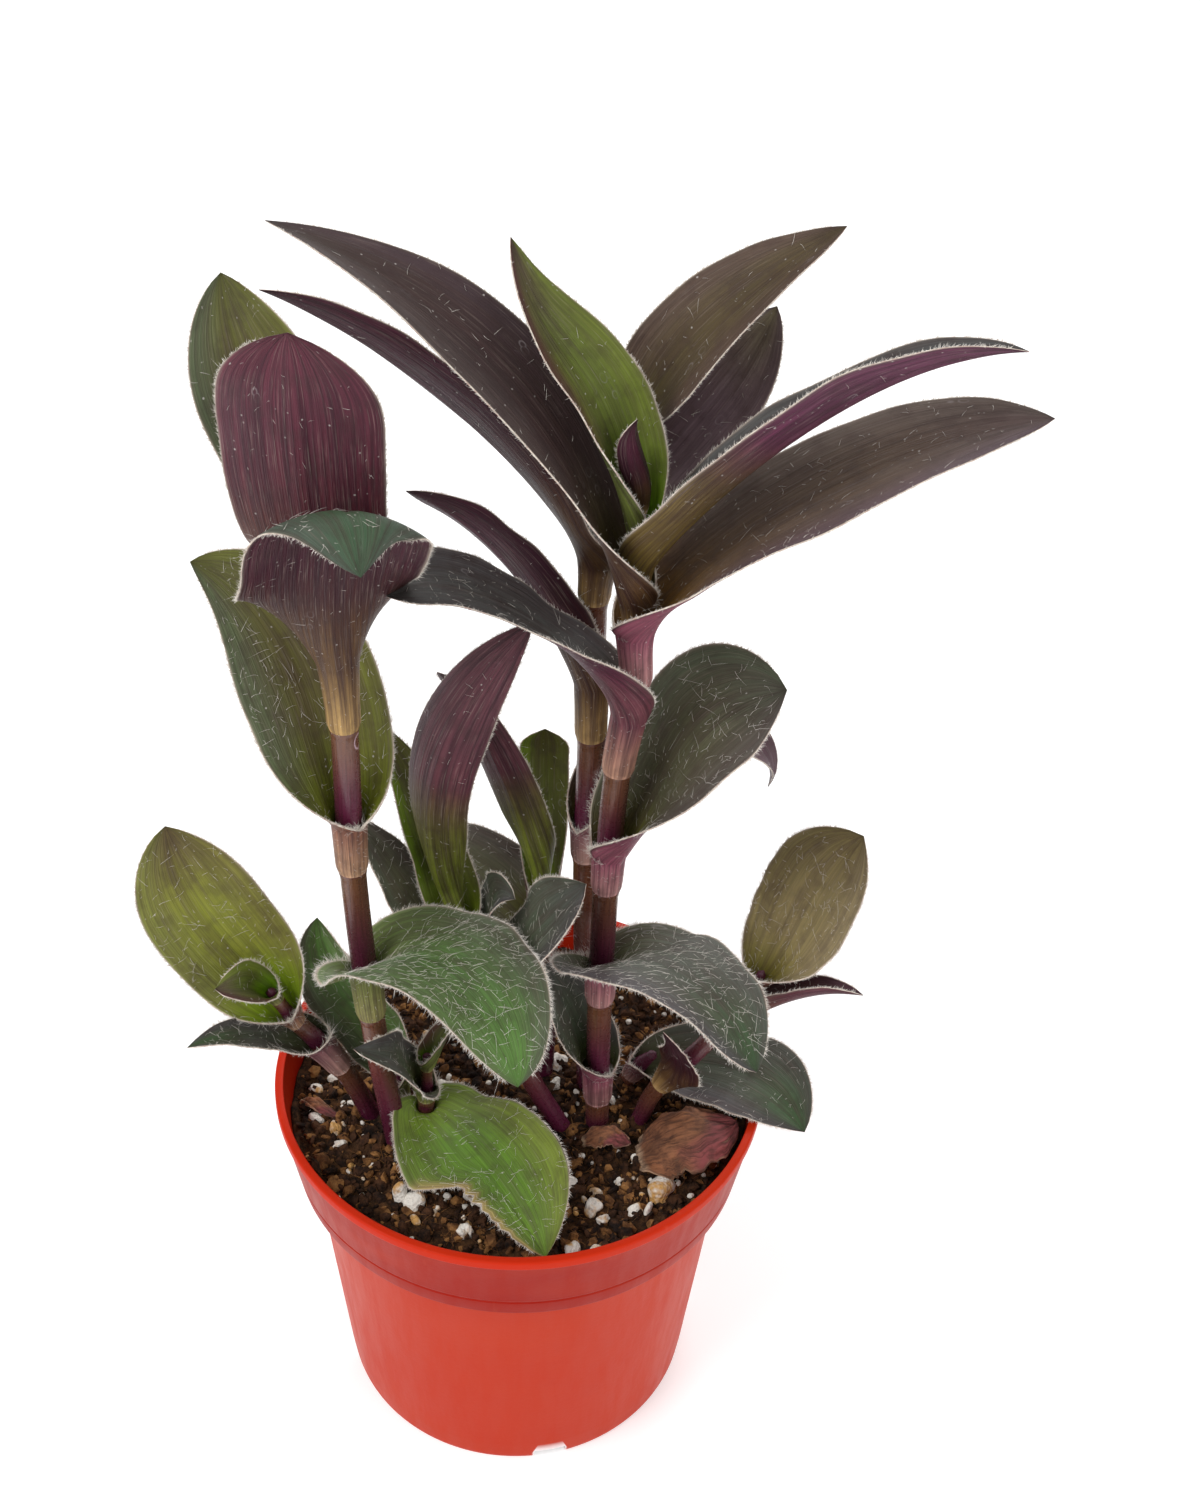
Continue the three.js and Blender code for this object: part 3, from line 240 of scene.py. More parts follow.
# Upper side of a leaf: its base, middle and tip, and then its u > 0 and its u < 0 margin.
SKINS = {
    "green": [(102, 120, 62), (90, 120, 68), (94, 132, 66), (102, 126, 78), (90, 94, 80)],
    "bitten": [(122, 146, 60), (102, 138, 56), (112, 144, 56), (112, 134, 62), (134, 146, 70)],
    "slate": [(84, 88, 62), (78, 84, 70), (66, 92, 60), (84, 78, 84), (90, 92, 86)],
    "ash": [(104, 102, 42), (84, 84, 62), (80, 82, 70), (90, 84, 80), (84, 92, 74)],
    "grey": [(92, 102, 56), (74, 84, 66), (78, 80, 76), (78, 78, 80), (82, 88, 76)],
    "silver": [(88, 88, 66), (86, 86, 84), (88, 88, 86), (92, 88, 90), (84, 84, 84)],
    "trumpet": [(86, 94, 56), (62, 80, 58), (66, 88, 66), (80, 90, 80), (80, 90, 80)],
    "olive": [(124, 134, 44), (84, 80, 44), (92, 94, 50), (112, 116, 56), (92, 104, 80)],
    "olive_bright": [(130, 160, 40), (126, 130, 56), (98, 86, 56), (116, 112, 58), (128, 132, 70)],
    "olive_tan": [(122, 116, 46), (146, 132, 92), (126, 112, 76), (152, 138, 106), (128, 116, 78)],
    "moss": [(110, 130, 36), (86, 94, 40), (84, 84, 40), (96, 100, 46), (122, 150, 50)],
    "brown": [(92, 88, 36), (80, 68, 46), (84, 72, 52), (90, 72, 62), (96, 80, 72)],
    "gold_brown": [(112, 80, 24), (100, 80, 64), (100, 84, 82), (92, 72, 82), (102, 92, 86)],
    "dark": [(76, 70, 32), (56, 42, 42), (62, 50, 46), (72, 58, 62), (80, 70, 68)],
    "dusk": [(88, 84, 48), (108, 90, 96), (104, 96, 74), (112, 94, 98), (108, 92, 98)],
    "fresh": [(116, 160, 36), (100, 112, 52), (90, 78, 62), (124, 138, 62), (92, 46, 54)],
    "bud": [(106, 140, 40), (84, 56, 40), (76, 44, 44), (94, 66, 50), (86, 52, 46)],
    "wine": [(92, 88, 40), (84, 58, 58), (84, 58, 70), (90, 60, 72), (84, 56, 66)],
}
# Under side: at the foot of the sheath, at its mouth, then on the blade: base, middle and tip.
UNDERS = {
    "maroon": [(206, 166, 136), (150, 104, 88), (106, 68, 58), (90, 44, 52), (96, 50, 62)],
    "rose": [(204, 156, 152), (160, 96, 112), (118, 60, 82), (98, 48, 76), (106, 66, 90)],
    "deep": [(196, 162, 112), (98, 74, 50), (66, 38, 38), (64, 28, 40), (76, 38, 52)],
    "fold": [(196, 152, 130), (120, 72, 80), (84, 34, 56), (82, 32, 56), (92, 42, 68)],
    "magenta": [(184, 146, 104), (118, 100, 56), (92, 76, 50), (100, 50, 74), (102, 58, 80)],
    "green_base": [(170, 162, 90), (122, 134, 54), (110, 108, 58), (100, 60, 68), (100, 62, 70)],
    "plum": [(200, 162, 150), (150, 108, 112), (112, 84, 90), (104, 80, 96), (108, 84, 98)],
    "leafy": [(166, 160, 108), (116, 126, 66), (98, 112, 60), (92, 100, 72), (92, 92, 78)],
}
STEM_BROWN = (106, 66, 46)      # under a node
STEM_PURPLE = (92, 30, 58)      # over the mouth below
MARGIN_COLOUR = (214, 200, 184)
SCAR_COLOUR = (206, 176, 118)
DEAD_BROWN = (150, 98, 66)
DEAD_WINE = (146, 74, 74)
DEAD_PALE = (206, 172, 140)
# The pot's one red plastic in lit and shaded copies by zone: the collar painted darker, the lip painted
# lighter, and the wall paler, partly a painted reflection of the white floor and partly the plastic's own
# paler look.
POT_COLLAR_SHADED = (150, 22, 4)
POT_WALL_FLOOR_SHEEN = (182, 48, 20)
POT_LIP_LIT = (192, 38, 10)


# ---------------------------------------------------------------- shapes of stems and leaves
def unit(vector):
    """The vector at unit length."""
    return vector / np.linalg.norm(vector)


def normed(vectors):
    """Each vector of an array, along its last axis, at unit length."""
    return vectors / (np.linalg.norm(vectors, axis=-1, keepdims=True) + 1e-12)


def run_of(points):
    """How far along a row of points each one lies."""
    return np.concatenate([[0], np.cumsum(np.linalg.norm(np.diff(points, axis=0), axis=1))])


def circle(radius, sides, z):
    """Points round the pot's axis, counter-clockwise from above."""
    angles = 2 * math.pi * np.arange(sides) / sides
    return np.stack([radius * np.cos(angles), radius * np.sin(angles), np.full(sides, z)], axis=1)


def ring_quads(count, sides, start=0, inward=False):
    """The quads between rings of vertices, from a first vertex; inward turns them round."""
    quads = []
    for low in range(start, start + (count - 1) * sides, sides):
        high = low + sides
        for j in range(sides):
            k = (j + 1) % sides
            quad = [low + j, low + k, high + k, high + j]
            quads.append([low + j, high + j, high + k, low + k] if inward else quad)
    return quads


def blend(first, second, share):
    """From the first colour to the second, by share."""
    return first * (1 - share) + second * share


def square_to(vector, direction):
    """The part of a vector that is square to a direction, at unit length."""
    return unit(vector - direction * np.dot(vector, direction))


def ease(x):
    """A smooth step from 0 to 1."""
    x = np.clip(x, 0, 1)
    return x * x * (3 - 2 * x)


def stem_at(points, z):
    """A smooth curve through the points of a stem, by height."""
    last = len(points) - 1
    i = 0
    while i < last - 1 and z > points[i + 1][2]:
        i += 1

    def slope(k):
        lower, upper = points[max(k - 1, 0)], points[min(k + 1, last)]
        return (np.array(upper[:2]) - np.array(lower[:2])) / (upper[2] - lower[2])

    low, high = np.array(points[i][:2]), np.array(points[i + 1][:2])
    rise = points[i + 1][2] - points[i][2]
    t = (z - points[i][2]) / rise
    if t < 0:
        place = low + slope(i) * (z - points[i][2])
    elif t > 1:
        place = high + slope(i + 1) * (z - points[i + 1][2])
    else:
        place = ((2 * t ** 3 - 3 * t ** 2 + 1) * low + (t ** 3 - 2 * t ** 2 + t) * slope(i) * rise
                 + (3 * t ** 2 - 2 * t ** 3) * high + (t ** 3 - t ** 2) * slope(i + 1) * rise)
    return np.array([place[0], place[1], z])


def stem_radius(points, z):
    """Radius of a stem at a height."""
    heights, radii = zip(*[point[2:] for point in points])
    return float(np.interp(z, heights, radii))


def stem_direction(points, z):
    """The way a stem runs at a height."""
    return unit(stem_at(points, z + 0.5) - stem_at(points, z - 0.5))


class Bezier:
    """A cubic curve that is read by its share of arc length."""

    def __init__(self, *controls):
        self.controls = [np.array(control, float) for control in controls]
        self.steps = np.linspace(0, 1, 241)
        self.reach = run_of(np.array([self.raw(t) for t in self.steps]))
        self.length = self.reach[-1]

    def raw(self, t):
        a, b, c, d = self.controls
        s = 1 - t
        return s ** 3 * a + 3 * s * s * t * b + 3 * s * t * t * c + t ** 3 * d

    def at(self, share):
        return self.raw(np.interp(share * self.length, self.reach, self.steps))

    def tangent(self, share):
        t = np.interp(share * self.length, self.reach, self.steps)
        a, b, c, d = self.controls
        s = 1 - t
        return unit(3 * s * s * (b - a) + 6 * s * t * (c - b) + 3 * t * t * (d - c))


def blade_half(leaf, start, share):
    """Half width of the blade, from the sheath's to its widest and on to a point."""
    if share < leaf["widest"]:
        x = share / leaf["widest"]
        return start + (leaf["half"] - start) * x * (2 - x)
    x = (share - leaf["widest"]) / (1 - leaf["widest"])
    return max(TIP_HALF, leaf["half"] * max(0, 1 - x ** leaf["taper"]) ** 0.85)


def blade_turn(leaf, share):
    """How far a row is rolled up, in radians: a full tube at the mouth."""
    fold = leaf["fold"] * DEG
    if share < leaf["open"]:
        x = share / leaf["open"]
        return 2 * math.pi + (fold - 2 * math.pi) * (1 - (1 - x) ** 2)
    x = (share - leaf["open"]) / (1 - leaf["open"])
    return fold + (leaf["foldTip"] * DEG - fold) * x


def leaf_rows(leaf):
    """The rows of a leaf: those of its sheath, as closed rings, and then those of its blade."""
    stem = STEMS[leaf["stem"]]
    facing = np.array([math.cos(leaf["az"] * DEG), math.sin(leaf["az"] * DEG), 0.0])
    rows = []
    sheath_rows = max(3, round(leaf["sheath"] / ROW_PITCH))
    for k in range(sheath_rows + 1):
        part = k / sheath_rows
        z = leaf["z"] + leaf["sheath"] * part
        along = stem_direction(stem, z)
        inward = square_to(-facing, along)
        grip = 0.38 * (1 - ease(part * leaf["sheath"] / 1.5))
        radius = stem_radius(stem, z) + SHEATH_GAP + leaf["flare"] * part ** 2 - grip
        rows.append(dict(point=stem_at(stem, z) - inward * radius, inward=inward,
            across=np.cross(along, inward), half=math.pi * radius, turn=2 * math.pi,
            share=0.0, part=part))

    mouth = rows[-1]
    tip = np.array(leaf["tip"], float)
    chord = np.linalg.norm(tip - mouth["point"])
    pitch = leaf["endPitch"] * DEG
    end_az = leaf.get("endAz", leaf["az"]) * DEG
    arrival = np.array([math.cos(pitch) * math.cos(end_az), math.cos(pitch) * math.sin(end_az),
        math.sin(pitch)])
    departure = unit(stem_direction(stem, leaf["z"] + leaf["sheath"]) - mouth["inward"] * leaf["lean"])
    midrib = Bezier(mouth["point"], mouth["point"] + departure * leaf["leave"] * chord,
        tip - arrival * leaf["arrive"] * chord, tip)

    steps = 96
    carried = [square_to(mouth["inward"], departure)]
    for i in range(1, steps + 1):
        carried.append(square_to(carried[-1], midrib.tangent(i / steps)))
    row_count = max(12, round(midrib.length / ROW_PITCH))
    for k in range(1, row_count + 1):
        share = (k / row_count) ** ROW_SPREAD
        along = midrib.tangent(share)
        hold = max(0.0, 1 - share / leaf["open"])
        square = square_to(carried[round(share * steps)], along)
        flat = unit(square * (1 - hold) + mouth["inward"] * hold)
        side = np.cross(along, square)
        roll = (leaf["roll"] * share + leaf["rollMid"] * math.sin(math.pi * share)) * DEG
        rows.append(dict(point=midrib.at(share),
            inward=flat * math.cos(roll) + side * math.sin(roll),
            across=side * math.cos(roll) - flat * math.sin(roll),
            half=blade_half(leaf, mouth["half"], share), turn=blade_turn(leaf, share),
            share=share, part=1.0))
    return rows, sheath_rows + 1


def row_points(leaf, row, ripple):
    """The points across one row, on an arc, with the margin's waves and a sunken midrib."""
    u, share = ACROSS, row["share"]
    half = np.full(len(u), row["half"])
    if leaf["bite"]:
        start, depth = leaf["bite"]
        gnawed = depth * ease((share - start) / 0.12)
        ragged = 0.05 * ripple(share * 90) * ease((share - start) / 0.1)
        half = np.where(u > 0, half * (1 - gnawed + ragged), half)
    bend = row["turn"] if abs(row["turn"]) > 1e-3 else 1e-3
    curvature = bend / (2 * row["half"])
    angle = u * half * curvature
    phase = np.where(u > 0, 0.9, -0.5)
    wave = (leaf["wave"] * u * u * np.sin(2 * math.pi * leaf["waves"] * share + phase)
            * min(1, share / 0.25) * (row["half"] / 10))
    opened = ease(share / 0.2)
    frill = np.array([ripple(share * 26 + 7 * side) for side in np.sign(u)])
    wave = wave + opened * 0.22 * np.abs(u) ** 4 * frill * min(1.0, row["half"] / 6)
    groove = -0.35 * opened * np.exp(-(u * row["half"] / 0.9) ** 2) * min(1.0, row["half"] / 5)
    offset = (1 - np.cos(angle)) / curvature + wave + groove
    return (row["point"] + np.outer(np.sin(angle) / curvature, row["across"])
            + np.outer(offset, row["inward"]))


def make_ripple(seed):
    """A smooth random wave in one variable, the same for the same seed."""
    draw = random.Random(seed)
    terms = [(draw.uniform(0.5, 1.6), draw.uniform(0, 2 * math.pi)) for _ in range(4)]
    return lambda x: sum(math.sin(rate * x + phase) for rate, phase in terms) / 2.4


# ---------------------------------------------------------------- meshes
def add_object(name, data):
    """A new object in the scene."""
    thing = bpy.data.objects.new(name, data)
    bpy.context.scene.collection.objects.link(thing)
    return thing


def new_object(name, vertices, faces, materials, node=None, face_slots=None, uvs=None, tints=None,
        smooth=True):
    """A mesh object in metres from arrays in millimetres, riding on the root body in place of a node."""
    mesh = bpy.data.meshes.new(name)
    mesh.from_pydata((np.asarray(vertices) * MM).tolist(), [], faces)
    for material in materials:
        mesh.materials.append(MATERIALS[material])
    if face_slots is not None:
        mesh.polygons.foreach_set("material_index", np.asarray(face_slots, np.int32))
    if smooth:
        mesh.polygons.foreach_set("use_smooth", np.ones(len(mesh.polygons), bool))
    if uvs is not None:
        layer = mesh.uv_layers.new(name="fibre")
        layer.data.foreach_set("uv", np.asarray(uvs, np.float32).ravel())
    if tints is not None:
        layer = mesh.color_attributes.new(name="tint", type="FLOAT_COLOR", domain="POINT")
        rgba = np.ones((len(vertices), 4), np.float32)
        rgba[:, :3] = tints
        layer.data.foreach_set("color", rgba.ravel())
    mesh.update()
    piece = add_object(name, mesh)
    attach(piece, "root")
    if node:
        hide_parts(node)
    return piece


def blend_stops(stops, x):
    """A colour between evenly spaced stops, for each x from 0 to 1."""
    colours = np.array([linear(*stop) for stop in stops])
    places = np.linspace(0, 1, len(stops))
    return np.stack([np.interp(x, places, colours[:, c]) for c in range(3)], axis=-1)


def mottle(points, seed, scale):
    """Soft blotches from -1 to 1 over points in space."""
    draw = np.random.default_rng(seed)
    total = np.zeros(points.shape[:-1])
    for _ in range(5):
        direction = draw.normal(size=3)
        total += np.sin(points @ direction / scale + draw.uniform(0, 2 * math.pi))
    return total / 3


def vivid(colour):
    """A colour with more of its own hue."""
    grey = colour.mean(axis=-1, keepdims=True)
    return np.clip(grey + (colour - grey) * 1.12, 0.003, 1)


def upper_tint(name, shares, u, points):
    """The upper side's colours, from the mouth to the tip and out to the two margins."""
    base, middle, tip, plus, minus = [linear(*stop) for stop in SKINS[LEAVES[name]["skin"]]]
    low = ease(shares / 0.35)[..., None]
    high = ease((shares - 0.55) / 0.45)[..., None]
    colour = blend(blend(base, middle, low), tip, high)
    for side, reach in ((plus, u), (minus, -u)):
        sideways = (0.8 * ease((reach - 0.2) / 0.7) * ease(shares / 0.25))[..., None]
        colour = blend(colour, side, sideways)
    return vivid(colour) * (1 + 0.12 * mottle(points, len(name) + 3, 6.0))[..., None]


def under_tint(name, shares, parts, points):
    """The under side's colours, up the sheath and then along the blade."""
    stops = UNDERS[LEAVES[name]["under"]]
    sheath = blend_stops(stops[:2], np.clip(parts, 0, 1))
    blade = blend_stops(stops[1:], ease(shares / 0.75))
    blade[shares <= 0] = sheath[shares <= 0]
    return vivid(blade) * (1 + 0.10 * mottle(points, len(name) + 9, 6.0))[..., None]


def leaf_normals(grid, closed, inward):
    """Unit normals of a leaf's middle sheet that point to its upper side."""
    across = np.gradient(grid, axis=1)
    ring_side = grid[:closed, 1] - grid[:closed, -2]
    across[:closed, 0] = ring_side
    across[:closed, -1] = ring_side
    normals = normed(np.cross(np.gradient(grid, axis=0), across))
    normals[-1] = normals[-2].mean(axis=0)
    normals = normed(normals)
    middle = grid.shape[1] // 2
    flip = np.sign(np.einsum("ijk,ik->ij", normals[:, middle:middle + 1], inward))
    return normals * flip[..., None]


def build_leaf(name, leaf):
    """One leaf as a closed thin sheet, with its two faces, its pale margin and its fibres' map."""
    rows, closed = leaf_rows(leaf)
    ripple = make_ripple(name)
    grid = np.array([row_points(leaf, row, ripple) for row in rows])
    shares, parts, halves, inward = [np.array([row[key] for row in rows])
        for key in ("share", "part", "half", "inward")]
    count, columns = grid.shape[:2]
    normals = leaf_normals(grid, closed, inward)

    taper = np.interp(np.abs(ACROSS), [0, 0.3, 0.9, 1], [1.25, 1, 0.75, 0])[None, :]
    body = np.where(np.arange(count)[:, None] < closed, 1.0, taper)
    opening = ease(shares / 0.12)[:, None]
    body = 1 - opening + body * opening
    thickness = MARGIN_THICKNESS + (BLADE_THICKNESS - MARGIN_THICKNESS) * body
    thickness = thickness * np.interp(shares, [0, 0.9, 1], [1, 0.8, 0.35])[:, None]
    shell = normals * thickness[..., None] / 2

    index = np.arange(count * columns).reshape(count, columns)
    index[:closed, -1] = index[:closed, 0]
    top, bottom = index, index + count * columns
    u_map = np.broadcast_to(ACROSS, (count, columns))
    travel = np.broadcast_to(run_of(grid[:, columns // 2])[:, None], u_map.shape)
    fibre = np.stack([u_map * leaf["half"], travel], axis=-1)

    faces, face_slots, uvs = [], [], []

    def quad(corners, source, slot):
        faces.append([int(corner) for corner in corners])
        face_slots.append(slot)
        uvs.extend(fibre[cell] for cell in source)

    def edge(first, second):
        quad([top[first], top[second], bottom[second], bottom[first]], [first, second, second, first], 2)

    for i in range(count - 1):
        for j in range(columns - 1):
            cell = [(i, j), (i, j + 1), (i + 1, j + 1), (i + 1, j)]
            quad([top[c] for c in cell], cell, 0)
            quad([bottom[c] for c in cell[::-1]], cell[::-1], 1)
        if i >= closed - 1:
            edge((i, 0), (i + 1, 0))
            edge((i + 1, columns - 1), (i, columns - 1))
    for j in range(columns - 1):
        edge((0, j), (0, j + 1))
    for j in range(columns - 1):
        edge((count - 1, j + 1), (count - 1, j))

    share_map = np.broadcast_to(shares[:, None], (count, columns))
    part_map = np.broadcast_to(parts[:, None], (count, columns))
    over = upper_tint(name, share_map, u_map, grid)
    under = under_tint(name, share_map, part_map, grid)
    pale = linear(*MARGIN_COLOUR)
    if leaf["bite"]:
        scar = ease((u_map - 0.62) / 0.34) * ease((share_map - leaf["bite"][0] + 0.04) / 0.08)
        over = blend(over, linear(*SCAR_COLOUR), scar[..., None] * 0.85)
    rim = (ease((np.abs(u_map) - 0.97) / 0.03) * ease(share_map / 0.06))[..., None] * 0.8
    over, under = blend(over, pale, rim), blend(under, pale, rim)
    vertices = np.stack([grid + shell, grid - shell]).reshape(-1, 3)
    tints = np.clip(np.stack([over, under]), 0, 1).reshape(-1, 3)
    vertices, faces, tints = drop_unused(vertices, faces, tints)
    new_object("blade" + name[4:], vertices, faces, ("upper", "under", "margin"),
        name, face_slots, uvs, tints)
    return dict(name=name, grid=grid, normals=normals, closed=closed, halves=halves)


def drop_unused(vertices, faces, tints):
    """Leaves out the vertices that no face uses."""
    used = np.unique(np.concatenate([np.array(face) for face in faces]))
    remap = np.full(len(vertices), -1)
    remap[used] = np.arange(len(used))
    return vertices[used], [[int(remap[v]) for v in face] for face in faces], tints[used]


# ---------------------------------------------------------------- hairs
class Strands:
    """Gathers hairs and makes them as thin three-sided prisms that run to a point."""

    SEGMENTS = 3

    def __init__(self):
        self.batches = []

    def add(self, roots, directions, bends, lengths, radius):
        self.batches.append((roots, directions, bends, lengths, np.full(len(roots), radius)))

    def build(self, name, material):
        roots, directions, bends, lengths, radii = [np.concatenate(b) for b in zip(*self.batches)]
        directions = normed(directions)
        lengths = lengths[:, None]
        helper = np.where(np.abs(directions[:, 2:3]) < 0.9, [[0.0, 0, 1]], [[1.0, 0, 0]])
        side = normed(np.cross(directions, helper))
        other = np.cross(directions, side)
        rings = []
        for k in range(self.SEGMENTS):
            t = k / self.SEGMENTS
            centre = roots + directions * (lengths * t) + bends * (lengths * t * t)
            thin = (radii * (1 - 0.6 * t))[:, None]
            for corner in range(3):
                angle = 2 * math.pi * corner / 3
                rings.append(centre + side * (thin * math.cos(angle)) + other * (thin * math.sin(angle)))
        rings.append(roots + directions * lengths + bends * lengths)
        each = 3 * self.SEGMENTS + 1
        pattern = ring_quads(self.SEGMENTS, 3)
        last = 3 * (self.SEGMENTS - 1)
        pattern += [[last + c, last + (c + 1) % 3, each - 1] for c in range(3)]
        pattern.append([2, 1, 0])
        faces = [[v + each * h for v in face] for h in range(len(roots)) for face in pattern]
        new_object(name, np.stack(rings, axis=1).reshape(-1, 3), faces, [material])


def margin_hairs(strands, leaf, draw, density, length, radius):
    """A fringe along both margins of a blade, longest at the mouth."""
    rows = slice(leaf["closed"] - 1, -1)
    for j, inner in ((0, 1), (-1, -2)):
        edge = leaf["grid"][rows, j]
        reach = run_of(edge)
        count = int(reach[-1] * density)
        where = np.sort(draw.uniform(0, reach[-1] * 0.985, count))
        at = np.interp(where, reach, np.arange(len(edge)))
        low = np.clip(at.astype(int), 0, len(edge) - 2)
        mix = (at - low)[:, None]
        roots = edge[low] * (1 - mix) + edge[low + 1] * mix
        out = normed(edge - leaf["grid"][rows, inner])
        along = normed(edge[low + 1] - edge[low])
        normal = leaf["normals"][rows, j][low]
        direction = (out[low] + along * draw.uniform(0.1, 1.1, (count, 1))
                     + normal * draw.normal(0, 0.45, (count, 1)))
        lengths = length * (1 + 1.3 * np.exp(-where / 5.0)) * draw.uniform(0.5, 1.3, count)
        bends = along * draw.uniform(0, 0.6, (count, 1)) + draw.normal(0, 0.4, (count, 3))
        strands.add(roots, direction, bends, lengths, radius)


def surface_hairs(strands, leaf, draw, count, length, radius, sign=1):
    """Long silky hairs that lie over a face of the blade: the upper one, or with -1 the under one."""
    grid = leaf["grid"]
    rows, columns = grid.shape[:2]
    weight = leaf["halves"].copy()
    weight[:leaf["closed"]] = 0
    weight[-3:] = 0
    i = np.clip(draw.choice(rows, count, p=weight / weight.sum()), 0, rows - 2)
    at = draw.uniform(0.06, 0.94, count) * (columns - 1)
    j = np.clip(at.astype(int), 0, columns - 2)
    mix = (at - j)[:, None]
    lift = leaf["normals"][i, j] * sign
    roots = grid[i, j] * (1 - mix) + grid[i, j + 1] * mix + lift * 0.2
    along = normed(grid[i + 1, j] - grid[i, j])
    side = np.cross(lift, along)
    turn = draw.normal(0, 1.2, (count, 1))
    direction = along * np.cos(turn) + side * np.sin(turn) + lift * draw.uniform(0.12, 0.5, (count, 1))
    bends = (side * draw.normal(0, 0.8, (count, 1)) - lift * draw.uniform(0.05, 0.3, (count, 1))
             + along * draw.normal(0, 0.6, (count, 1)))
    strands.add(roots, direction, bends, length * draw.uniform(0.4, 1.4, count), radius)


def sheath_hairs(strands, leaf, draw, density, length, radius):
    """A beard round the mouth of a sheath and short hairs down its ribs."""
    grid, normals, closed = leaf["grid"], leaf["normals"], leaf["closed"]
    ring = grid[closed - 1]
    up = normed(ring - grid[closed - 2])
    count = int(density * leaf["halves"][closed - 1])
    j = draw.choice(np.flatnonzero(np.abs(ACROSS) > 0.55), count)
    roots = ring[j] + draw.normal(0, 0.15, (count, 3))
    direction = (up[j] - normals[closed - 1][j] * draw.uniform(-0.1, 0.9, (count, 1))
                 + draw.normal(0, 0.35, (count, 3)))
    bends = draw.normal(0, 0.45, (count, 3))
    strands.add(roots, direction, bends, length * draw.uniform(0.4, 1.3, count), radius)
    count = int(count * 0.8)
    i = draw.integers(0, closed, count)
    j = draw.integers(0, grid.shape[1], count)
    away = -normals[i, j]
    direction = away + np.array([0, 0, 0.8]) + draw.normal(0, 0.4, (count, 3))
    bends = draw.normal(0, 0.3, (count, 3))
    lengths = 0.45 * length * draw.uniform(0.3, 1.2, count)
    strands.add(grid[i, j] + away * 0.2, direction, bends, lengths, radius * 0.8)


def dress_leaf(leaf, strands):
    """All the hairs of one leaf, as many as its hairiness says."""
    hairy = LEAVES[leaf["name"]]["hairy"]
    draw = np.random.default_rng(sum(map(ord, leaf["name"])))
    area = float(leaf["halves"][leaf["closed"]:].sum() * 2 * ROW_PITCH)
    margin_hairs(strands, leaf, draw, 8 + 4 * hairy, 0.45 + 0.4 * hairy, MARGIN_HAIR_RADIUS)
    surface_hairs(strands, leaf, draw, int(area * (0.03 + 0.42 * hairy)), 1.2 + 1.2 * hairy,
        UPPER_HAIR_RADIUS)
    surface_hairs(strands, leaf, draw, int(area * (0.03 + 0.1 * hairy)), 0.9, UNDER_HAIR_RADIUS, -1)
    if leaf["halves"][0] > BEARDED_HALF:
        sheath_hairs(strands, leaf, draw, 6 + 5 * hairy, 1.7 + 0.8 * hairy, SHEATH_HAIR_RADIUS)


# ---------------------------------------------------------------- stems
def build_stem(name, points):
    """A stem with a slight swelling at each node, brown under it and purple over the mouth below."""
    nodes = sorted((leaf["z"], leaf["z"] + leaf["sheath"]) for leaf in LEAVES.values()
        if "stem_" + leaf["stem"] == name)
    sides = 28
    angles = 2 * math.pi * np.arange(sides) / sides
    heights = np.arange(SOIL_LEVEL - 4, points[-1][2] + 0.01, STEM_STEP)
    rings, tints, uvs = [], [], []
    brown, purple = linear(*STEM_BROWN), linear(*STEM_PURPLE)
    for z in heights:
        centre, along = stem_at(points, z), stem_direction(points, z)
        side = square_to(np.array([1.0, 0, 0]), along)
        front = np.cross(along, side)
        radius = stem_radius(points, z) + STEM_SWELL
        for node, mouth in nodes:
            radius += NODE_SWELL * math.exp(-((z - node + 0.3) / 0.9) ** 2)
        rings.append(centre + radius * (np.outer(np.cos(angles), side) + np.outer(np.sin(angles), front)))
        below = max([mouth for node, mouth in nodes if mouth <= z], default=SOIL_LEVEL - 2)
        above = min([node for node, mouth in nodes if node > z], default=below + 30)
        brownness = ease((z - below) / max(above - below, 1) * 1.3 - 0.25)
        colour = blend(purple, brown, brownness)
        tints.append(np.repeat(colour[None], sides, axis=0))
    rings.append(np.repeat(stem_at(points, points[-1][2] + STEM_TIP)[None], sides, axis=0))
    tints.append(tints[-1])
    for low, high in zip(heights, [*heights[1:], heights[-1] + STEM_TIP]):
        for j in range(sides):
            uvs += [(j, low), (j + 1, low), (j + 1, high), (j, high)]
    new_object("stalk" + name[4:], np.concatenate(rings), ring_quads(len(rings), sides), ["stem"],
        name, uvs=uvs, tints=np.concatenate(tints))


